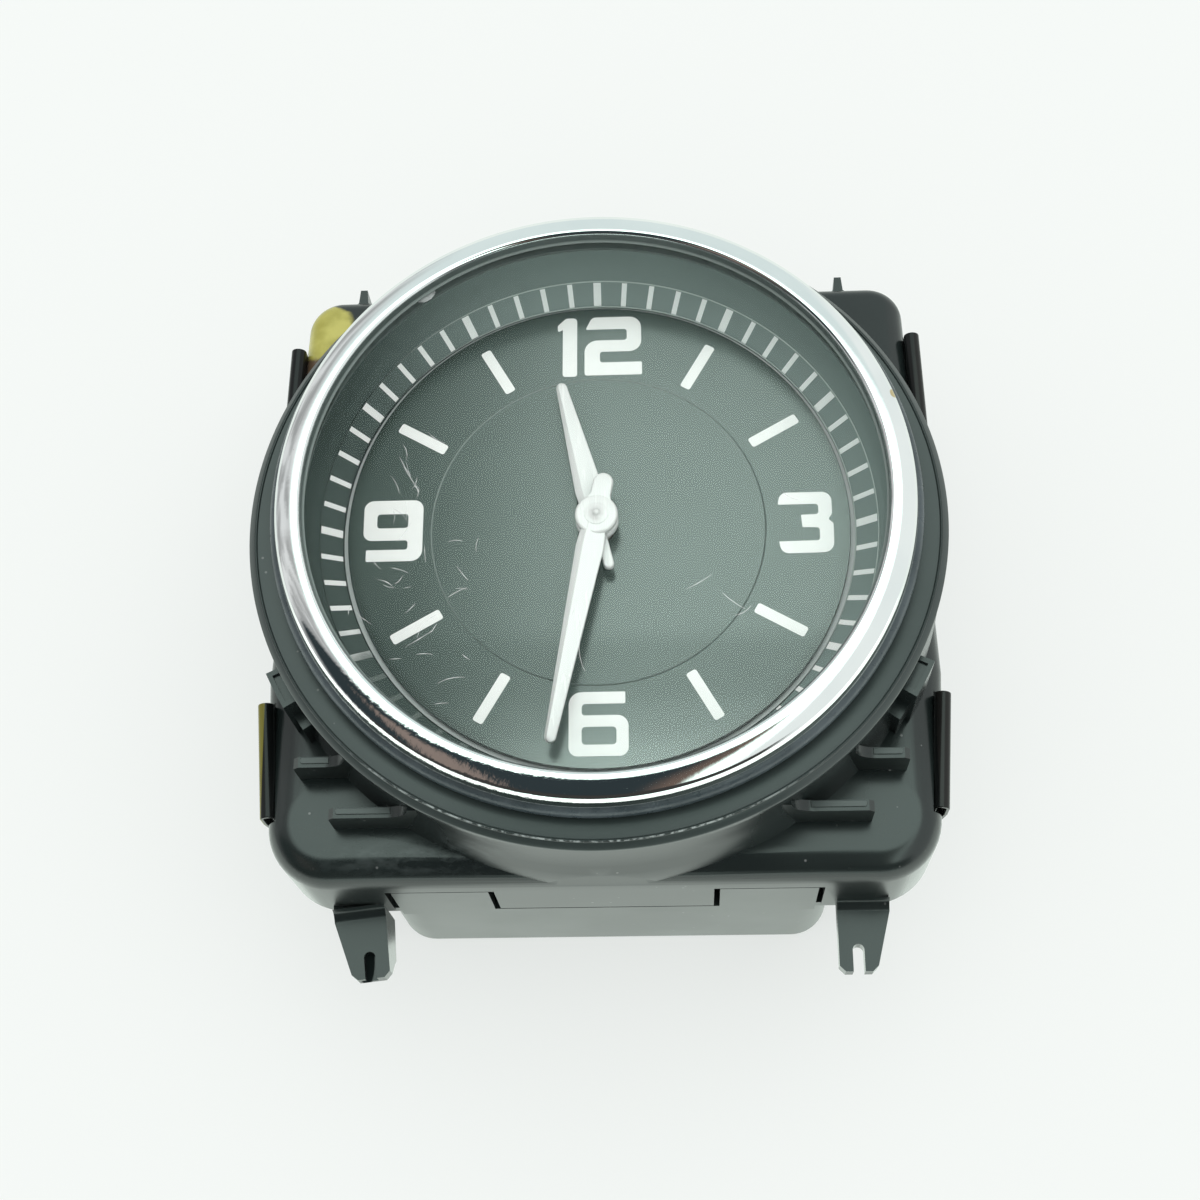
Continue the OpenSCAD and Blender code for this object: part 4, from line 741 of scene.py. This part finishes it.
ONE = [(-3.75, 17.7, .3), (-2.2, 17.7, .3), (-2.2, 24.85, .45), (-3.4, 24.85, .5), (-4.3, 23.95, .15),
       (-4.3, 23.15, .15), (-3.75, 23.45, 0)]
TWO = [(-1.3, 23.4, .12), (-.6, 24.9, .7), (4.7, 24.9, 1.3), (4.7, 20.65, 1.3), (.25, 20.65, .3), (.25, 19.35, .3),
       (4.75, 19.35, .15), (4.75, 17.8, .15), (-1.4, 17.8, .3), (-1.4, 22.05, 1.4), (3.15, 22.05, .3),
       (3.15, 23.4, .3)]
THREE = [(18.6, 2.1, .1), (18.85, 3.45, .9), (24.15, 3.45, 1), (24.15, 1, .3), (23.75, .35, .2), (24.25, -.1, .3),
         (24.2, -3.35, 1.1), (18.85, -3.4, .9), (18.6, -2.05, .1), (22.8, -2, .3), (22.8, -.55, .3),
         (21.05, -.5, .1), (20.95, .9, .1), (22.75, .95, .3), (22.75, 2.1, .3)]
SIX = [(2.7, -18, .15), (-2.95, -18, 1.3), (-2.95, -24.7, .9), (3, -24.7, .9), (3, -20.45, 1.1),
       (-1.65, -20.45, .3), (-1.65, -19.25, .4), (2.7, -19.25, .15)]
SIX_HOLE = [(-1.65, -21.65, .4), (1.8, -21.65, .4), (1.8, -23.5, .4), (-1.65, -23.5, .4)]
NINE = [(-24.4, 3.55, 1), (-18.2, 3.55, 1), (-18.2, -3.35, 1.2), (-24.05, -3.35, .15), (-24.05, -2.05, .15),
        (-19.75, -2.05, .3), (-19.75, -1, .3), (-24.4, -1, .9)]
NINE_HOLE = [(-23, .4, .35), (-23, 2, .35), (-19.75, 2, .35), (-19.75, .4, .35)]
INK = 0.03
CIRCLE_IN_R, CIRCLE_OUT_R, CIRCLE_EDGE = 17.22, 17.38, 0.02
BAR_HALF_W, BAR_IN_R, BAR_OUT_R, BAR_CORNER = .57, 18.5, 24.2, .25
BAR_HOURS = (1, 2, 4, 5, 7, 8, 10, 11)
TICK_HALF_W, HOUR_TICK_HALF_W = 0.275, 0.41
TICK_ENDS = ((26.62, RING_IN_H + 0.09), (28.62, KNEE_H - 0.09))


def prints():
    """Numerals, hour bars and the fine circle on the dial, and the ticks on the minute ring's slope."""
    numerals = [rounded(o) for o in (ONE, TWO, THREE, SIX, SIX_HOLE, NINE, NINE_HOLE)]
    mesh = flat_print("print_numerals", numerals, Z_DIAL, INK)
    paint(add("print_numerals", mesh, smooth=0), WHITE)
    ends = ((-BAR_HALF_W, BAR_IN_R), (BAR_HALF_W, BAR_IN_R), (BAR_HALF_W, BAR_OUT_R), (-BAR_HALF_W, BAR_OUT_R))
    bar = rounded([(x, y, BAR_CORNER) for x, y in ends])
    mesh = flat_print("print_hour_bars", [turned(bar, 30 * h) for h in BAR_HOURS], Z_DIAL, INK)
    paint(add("print_hour_bars", mesh, smooth=0), WHITE)
    profile = [(CIRCLE_IN_R, Z_DIAL), (CIRCLE_OUT_R, Z_DIAL), (CIRCLE_OUT_R - CIRCLE_EDGE, Z_DIAL + INK),
               (CIRCLE_IN_R + CIRCLE_EDGE, Z_DIAL + INK)]
    paint(add("print_circle", lathe("print_circle", profile), smooth=0), LINE)
    verts, faces = [], []
    for i in range(60):
        half = HOUR_TICK_HALF_W if i % 5 == 0 else TICK_HALF_W
        a = math.radians(6 * i)
        for r, z in TICK_ENDS:
            for lift in (-0.02, INK):
                for side in (-half, half):
                    x, y = r * math.sin(a) + side * math.cos(a), r * math.cos(a) - side * math.sin(a)
                    verts.append((x, y, Z_DIAL + z + lift))
        b = 8 * i
        faces += [(b, b + 1, b + 5, b + 4), (b + 2, b + 3, b + 7, b + 6), (b, b + 1, b + 3, b + 2),
                  (b + 4, b + 5, b + 7, b + 6), (b, b + 2, b + 6, b + 4), (b + 1, b + 3, b + 7, b + 5)]
    paint(add("print_ticks", mesh_of("print_ticks", verts, faces), smooth=0), TICK)


# Hands


def loft(bm, loops):
    """Closed skin through loops of equal length."""
    rows = [[bm.verts.new(p) for p in loop] for loop in loops]
    n = len(rows[0])
    for a, b in zip(rows, rows[1:]):
        for i in range(n):
            j = (i + 1) % n
            bm.faces.new((a[i], a[j], b[j], b[i]))
    bm.faces.new(rows[0])
    bm.faces.new(rows[-1])


def blade(bm, length, root_y, root_w, tip_w, ridge_side):
    """Ridged blade along +Y with a rounded tip; the ridge sits nearer to one edge."""
    edge_t, ridge_t, root_end = 0.36, 0.72, 0.8
    tip_r = tip_w / 2
    stations = [(root_end, root_w * 0.72), ((root_end + root_y) / 2, root_w * 0.93), (root_y, root_w)]
    stations += [(root_y + (length - tip_r - root_y) * k / 6, root_w + (tip_w - root_w) * k / 6)
                 for k in range(1, 7)]
    for degrees in (30, 55, 75, 86):
        w, y = on_circle(1, degrees)
        stations.append((length - tip_r + tip_r * y, tip_w * w))
    loops = []
    for y, w in stations:
        h = w / 2
        ridge = ridge_side * w * 0.22
        low = min(1.0, w / tip_w)
        top = edge_t + (ridge_t - edge_t) * low * (0.75 + 0.25 * (length - y) / length)
        soft = 0.06 * low
        loops.append([(-h, y, 0), (h, y, 0), (h, y, edge_t - soft), (h - soft, y, edge_t),
                      (ridge + soft, y, top - 0.015), (ridge - soft, y, top - 0.015),
                      (-h + soft, y, edge_t), (-h, y, edge_t - soft)])
    loft(bm, loops)


def pad(bm, outline, z0, z1, soft):
    """Flat pad from an outline, with a rounded upper edge."""
    centre = Vector((sum(p[0] for p in outline) / len(outline), sum(p[1] for p in outline) / len(outline)))
    levels = [(0, z0)]
    for degrees in (0, 22, 45, 67, 90):
        x, y = on_circle(1, degrees)
        levels.append((soft * (1 - x), z1 - soft * (1 - y)))
    loops = []
    for inset, z in levels:
        loop = []
        for p in outline:
            d = Vector(p) - centre
            q = centre + d * (1 - inset / d.length)
            loop.append((q.x, q.y, z))
        loops.append(loop)
    loft(bm, loops)


def hand(name, node, body, angle, z, blade_sizes, tail, tail_w):
    """Blade, hub and tail as one piece, turned to its angle at rest."""
    hub_r, shoulder_y = 2.2, -1.2
    # Foot, top and edge rounding of the two pads
    hub_pad, tail_pad = (0, 0.66, 0.3), (0.02, 0.62, 0.24)
    bm = bmesh.new()
    blade(bm, **blade_sizes)
    pad(bm, [on_circle(hub_r, a) for a in range(0, 360, 6)], *hub_pad)
    half, neck = tail_w / 2, min(hub_r * 1.5, tail_w * 1.35) / 2
    end = [(x, -tail + half + y) for x, y in (on_circle(half, a) for a in range(180, 361, 12))]
    sides = [(half, -hub_r), (neck, shoulder_y), (neck, 0), (-neck, 0), (-neck, shoulder_y), (-half, -hub_r)]
    pad(bm, end + sides, *tail_pad)
    bmesh.ops.recalc_face_normals(bm, faces=bm.faces)
    mesh = bpy.data.meshes.new(name)
    bm.to_mesh(mesh)
    bm.free()
    mesh.transform(Matrix.Rotation(math.radians(-angle), 4, "Z") @ Matrix.Diagonal((MM, MM, MM, 1)))
    mesh.transform(Matrix.Translation((0, 0, z * MM)))
    obj = add(name, mesh, body, smooth=24)
    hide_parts(node)
    paint(obj, HAND)


def hands():
    hour = {"length": 16.4, "root_y": 3.6, "root_w": 2.9, "tip_w": 1.15, "ridge_side": -1}
    minute = {"length": 24.6, "root_y": 3.6, "root_w": 2.85, "tip_w": 1.15, "ridge_side": 1}
    hour_z, minute_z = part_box("hour_hand")[0].z / MM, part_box("minute_hand")[0].z / MM
    hand("hour_pointer", "hour_hand", "hour", HOUR_ANGLE, hour_z, hour, tail=5.6, tail_w=1.1)
    hand("minute_pointer", "minute_hand", "minute", MINUTE_ANGLE, minute_z, minute, tail=4.7, tail_w=2.1)
    low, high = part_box("hand_cap")[0].z / MM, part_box("hand_cap")[1].z / MM
    profile = [(0.01, low - 0.1), (1.2, low - 0.1), (1.2, low - 0.02), (0.9, low + 0.03), (0.5, low + 0.12),
               (0.42, low + 0.2)]
    profile += arc(0.0, high - 0.4, 0.4, 20, 88, 5)
    obj = add("arbor_cap", lathe("arbor_cap", profile, 48), "minute", smooth=50)
    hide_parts("hand_cap")
    paint(obj, HAND)


# Wear and small moulded details

# Scratches: count, centre x and y, spread x and y, heading and its spread in degrees
SCRATCH_GROUPS = ((12, -18.6, 1.5, 2.2, 4.0, -58, 18), (8, -15.0, -6.0, 2.5, 2.5, -40, 40),
                  (14, -20.0, -15.0, 5.0, 4.0, 35, 60), (6, 8.0, -14.0, 7.0, 5.0, 10, 60))
LONG_SCRATCHES = ([(-19.6, 4.6), (-18.9, 3.2), (-18.3, 2.4)],
                  [(-18.9, 4.0), (-18.4, 2.2), (-17.4, 0.6), (-16.2, -2.2), (-14.9, -4.6)])
FIBRE = [(-1.5, -12.9), (-1.34, -14.2), (-1.42, -15.6), (-1.4, -16.9), (-1.1, -18.2), (-0.85, -18.7)]
# Flake at the lens's edge: its place round the axis, and its outline along the edge and outwards
FLAKE_R, FLAKE_ANGLE = 29.05, math.radians(127)
FLAKE_OUTLINE = [(-1.25, 0.2), (-0.9, -0.35), (-0.2, -0.62), (0.5, -0.55), (1.0, -0.2), (1.3, 0.25), (0.6, 0.3),
                 (-0.5, 0.3)]
SCRATCH_BEND, SCRATCH_RUN, SCRATCH_MARGIN = 0.5, (0.8, 3.2), 0.3
SCRATCH_W, FIBRE_W, FIBRE_T, FLAKE_T = 0.075, 0.07, 0.03, 0.015


def strokes(name, lines, z, width, thick=0.012):
    """Thin raised strips along open lines of points, narrower at their ends."""
    outlines = []
    for line in lines:
        left, right = [], []
        for i, p in enumerate(line):
            a, b = Vector(line[max(i - 1, 0)]), Vector(line[min(i + 1, len(line) - 1)])
            n = (b - a).normalized()
            w = width / 2 * (1 - 0.7 * abs(2 * i / (len(line) - 1) - 1))
            left.append((p[0] - n.y * w, p[1] + n.x * w))
            right.append((p[0] + n.y * w, p[1] - n.x * w))
        outlines.append(left + right[::-1])
    return flat_print(name, outlines, z, thick)


def smooth_curve(points, steps):
    """Smooth curve through the points."""
    pts = [Vector(p) for p in points]
    pts = [2 * pts[0] - pts[1]] + pts + [2 * pts[-1] - pts[-2]]
    out = []
    for p0, p1, p2, p3 in zip(pts, pts[1:], pts[2:], pts[3:]):
        for k in range(steps):
            t = k / steps
            out.append(tuple(0.5 * (2 * p1 + (p2 - p0) * t + (2 * p0 - 5 * p1 + 4 * p2 - p3) * t * t
                                    + (3 * p1 - p0 - 3 * p2 + p3) * t ** 3)))
    return out + [tuple(pts[-2])]


def wear():
    """Scratches, a fibre and a flake on the lens."""
    rng = random.Random(7)
    lines = []
    for count, cx, cy, sx, sy, heading, spread in SCRATCH_GROUPS:
        for _ in range(count):
            x, y = rng.gauss(cx, sx), rng.gauss(cy, sy)
            a, bend = math.radians(rng.gauss(heading, spread)), rng.uniform(-SCRATCH_BEND, SCRATCH_BEND)
            run = rng.uniform(*SCRATCH_RUN)
            line = [(x + run * t * math.cos(a + bend * t), y + run * t * math.sin(a + bend * t))
                    for t in (0, .2, .4, .6, .8, 1)]
            if max(math.hypot(*p) for p in line) < BEZEL_IN_R - SCRATCH_MARGIN:
                lines.append(line)
    lines += LONG_SCRATCHES
    scratches = strokes("lens_scratches", lines, Z_LIP, SCRATCH_W)
    paint(add("lens_scratches", scratches, smooth=0), SCRATCH)
    fibre = strokes("lens_fibre", [smooth_curve(FIBRE, 4)], Z_LIP, FIBRE_W, FIBRE_T)
    paint(add("lens_fibre", fibre, smooth=0), SCRATCH)
    cos_a, sin_a = math.cos(FLAKE_ANGLE), math.sin(FLAKE_ANGLE)
    place = [(FLAKE_R * cos_a - x * sin_a + y * cos_a, FLAKE_R * sin_a + x * cos_a + y * sin_a)
             for x, y in FLAKE_OUTLINE]
    paint(add("lens_flake", flat_print("lens_flake", [place], Z_LIP, FLAKE_T), smooth=0), FLAKE)


# Rib tops: how far below the axis, and x from and to
RIB_STRIPS = ((24.2, 27.2, 30.0), (29.5, 20.8, 26.2))


def rib_tops():
    """Raised strips on the gusset ribs, the same on both sides, lighter than the shell as painted light."""
    outlines = []
    for y, x0, x1 in RIB_STRIPS:
        low, high = -y - 0.12, -y + 0.42
        strip = rounded([(x0, low, 0), (x1, low, .22), (x1, high, .22), (x0, high, 0)])
        outlines += [strip, [(-x, v) for x, v in strip][::-1]]
    paint(add("rib_tops", flat_print("rib_tops", outlines, Z_RIB - 0.02, 0.16, 0.05)), RIB_TOP)


bezel()
bead()
flange_face()
lens()
dial()
minute_ring()
prints()
hands()
wear()
rib_tops()


# Floor, light and the white surroundings

FLOOR_HALF, FLOOR_Z = 2, -0.00005
# Share of the floor that glows, for the camera and for reflections; in reflections the glow holds a painted pool
# of light in front of the object
GLOW_SEEN, GLOW_GLOSSY = 0.7, 0.85
KEY_STRENGTH, KEY_SPREAD, KEY_TURN = 0.8, math.radians(70), (math.radians(-14), math.radians(12), 0)


def floor():
    """Pale floor that keeps the shadow, with a painted pool of light in front seen only in reflections; seen from
    below it is clear.
    """
    mesh = bpy.data.meshes.new("floor")
    corners = ((-1, -1), (1, -1), (1, 1), (-1, 1))
    mesh.from_pydata([(x * FLOOR_HALF, y * FLOOR_HALF, FLOOR_Z) for x, y in corners], [], [(0, 1, 2, 3)])
    obj = bpy.data.objects.new("floor", mesh)
    scene.collection.objects.link(obj)
    m = Mat("floor", (0.84, 0.86, 0.845), 0.8)
    m.rough(m.noise(40, 3), 0.75, 0.9)
    ray = m.node("ShaderNodeLightPath").outputs
    seen = m.math("MAXIMUM", ray["Is Camera Ray"], ray["Is Transmission Ray"])
    share = m.add(m.mul(seen, GLOW_SEEN), m.mul(ray["Is Glossy Ray"], GLOW_GLOSSY), clamp=True)
    # Painted light: a brighter pool on the floor in front of the object, seen only in reflections.
    painted_light_pool = m.mix(m.step(m.axes()[1], 0.01, -0.04), (0.84, 0.92, 0.87), (1.52, 1.70, 1.57))
    tint = m.mix(ray["Is Glossy Ray"], (0.885, 0.915, 0.895), painted_light_pool)
    glow = m.node("ShaderNodeEmission", {"Color": tint, "Strength": 1.0})
    top = m.blend(share, m.bsdf, glow)
    below = m.node("ShaderNodeNewGeometry").outputs["Backfacing"]
    m.surface(m.blend(below, top, m.node("ShaderNodeBsdfTransparent")))
    paint(obj, m)


def key_light():
    data = bpy.data.lights.new("key", "SUN")
    data.energy, data.angle = KEY_STRENGTH, KEY_SPREAD
    obj = bpy.data.objects.new("key", data)
    obj.rotation_euler = KEY_TURN
    obj.visible_glossy = False
    scene.collection.objects.link(obj)


def surroundings():
    """White for the camera; soft white light; a studio with dark and warm parts for reflections."""
    world = bpy.data.worlds.new("world")
    scene.world = world
    world.use_nodes = True
    world.cycles.sampling_method = "NONE"
    t = Tree(world.node_tree)

    def band(value, a, b, c, d):
        """1 between b and c, falling to 0 at a and d."""
        return t.mul(t.step(value, a, b), t.step(value, d, c))

    x, y, z = t.split(t.node("ShaderNodeTexCoord").outputs["Generated"])
    front = t.mul(t.math("ARCTAN2", t.mul(y, -1.0), z), 180 / math.pi)
    streak = t.noise(1.0, 3.0, vector=t.vector(0.0, t.mul(y, 9.0), t.mul(z, 3.0)))
    wall = t.mix(t.step(streak, 0.35, 0.65), (0.36, 0.37, 0.37), (0.74, 0.76, 0.76))
    studio = t.mix(t.step(y, 0.43, 0.60), (2.08, 2.58, 2.40), (0.72, 0.82, 0.81))
    studio = t.mix(t.step(x, -0.26, -0.55), studio, wall)
    studio = t.mix(t.step(x, 0.38, 0.52), studio, (0.84, 0.90, 0.885))
    person = t.mul(band(front, -5, 0, 54, 60), band(x, -0.99, -0.9, 0.24, 0.36))
    warm = t.mul(band(front, 6, 16, 54, 62), band(x, -0.72, -0.6, -0.45, -0.33))
    table = t.mul(band(front, 50, 54, 82, 90), band(x, -0.95, -0.85, 0.62, 0.75))
    clothes = t.mix(t.step(x, 0.08, 0.24), (0.03, 0.042, 0.047), (0.15, 0.11, 0.09))
    studio = t.mix(person, studio, clothes)
    studio = t.mix(warm, studio, (0.25, 0.20, 0.175))
    studio = t.mix(table, studio, (0.045, 0.044, 0.042))
    ray = t.node("ShaderNodeLightPath").outputs
    seen = t.math("MAXIMUM", ray["Is Camera Ray"], ray["Is Transmission Ray"])
    shown = t.mix(ray["Is Glossy Ray"], (0.985, 1.0, 0.99), studio)
    background = t.tree.nodes["Background"]
    t.put(background.inputs["Color"], t.mix(seen, shown, (0.90, 0.93, 0.91)))
    t.put(background.inputs["Strength"], 1.0)


make_camera()
floor()
key_light()
surroundings()
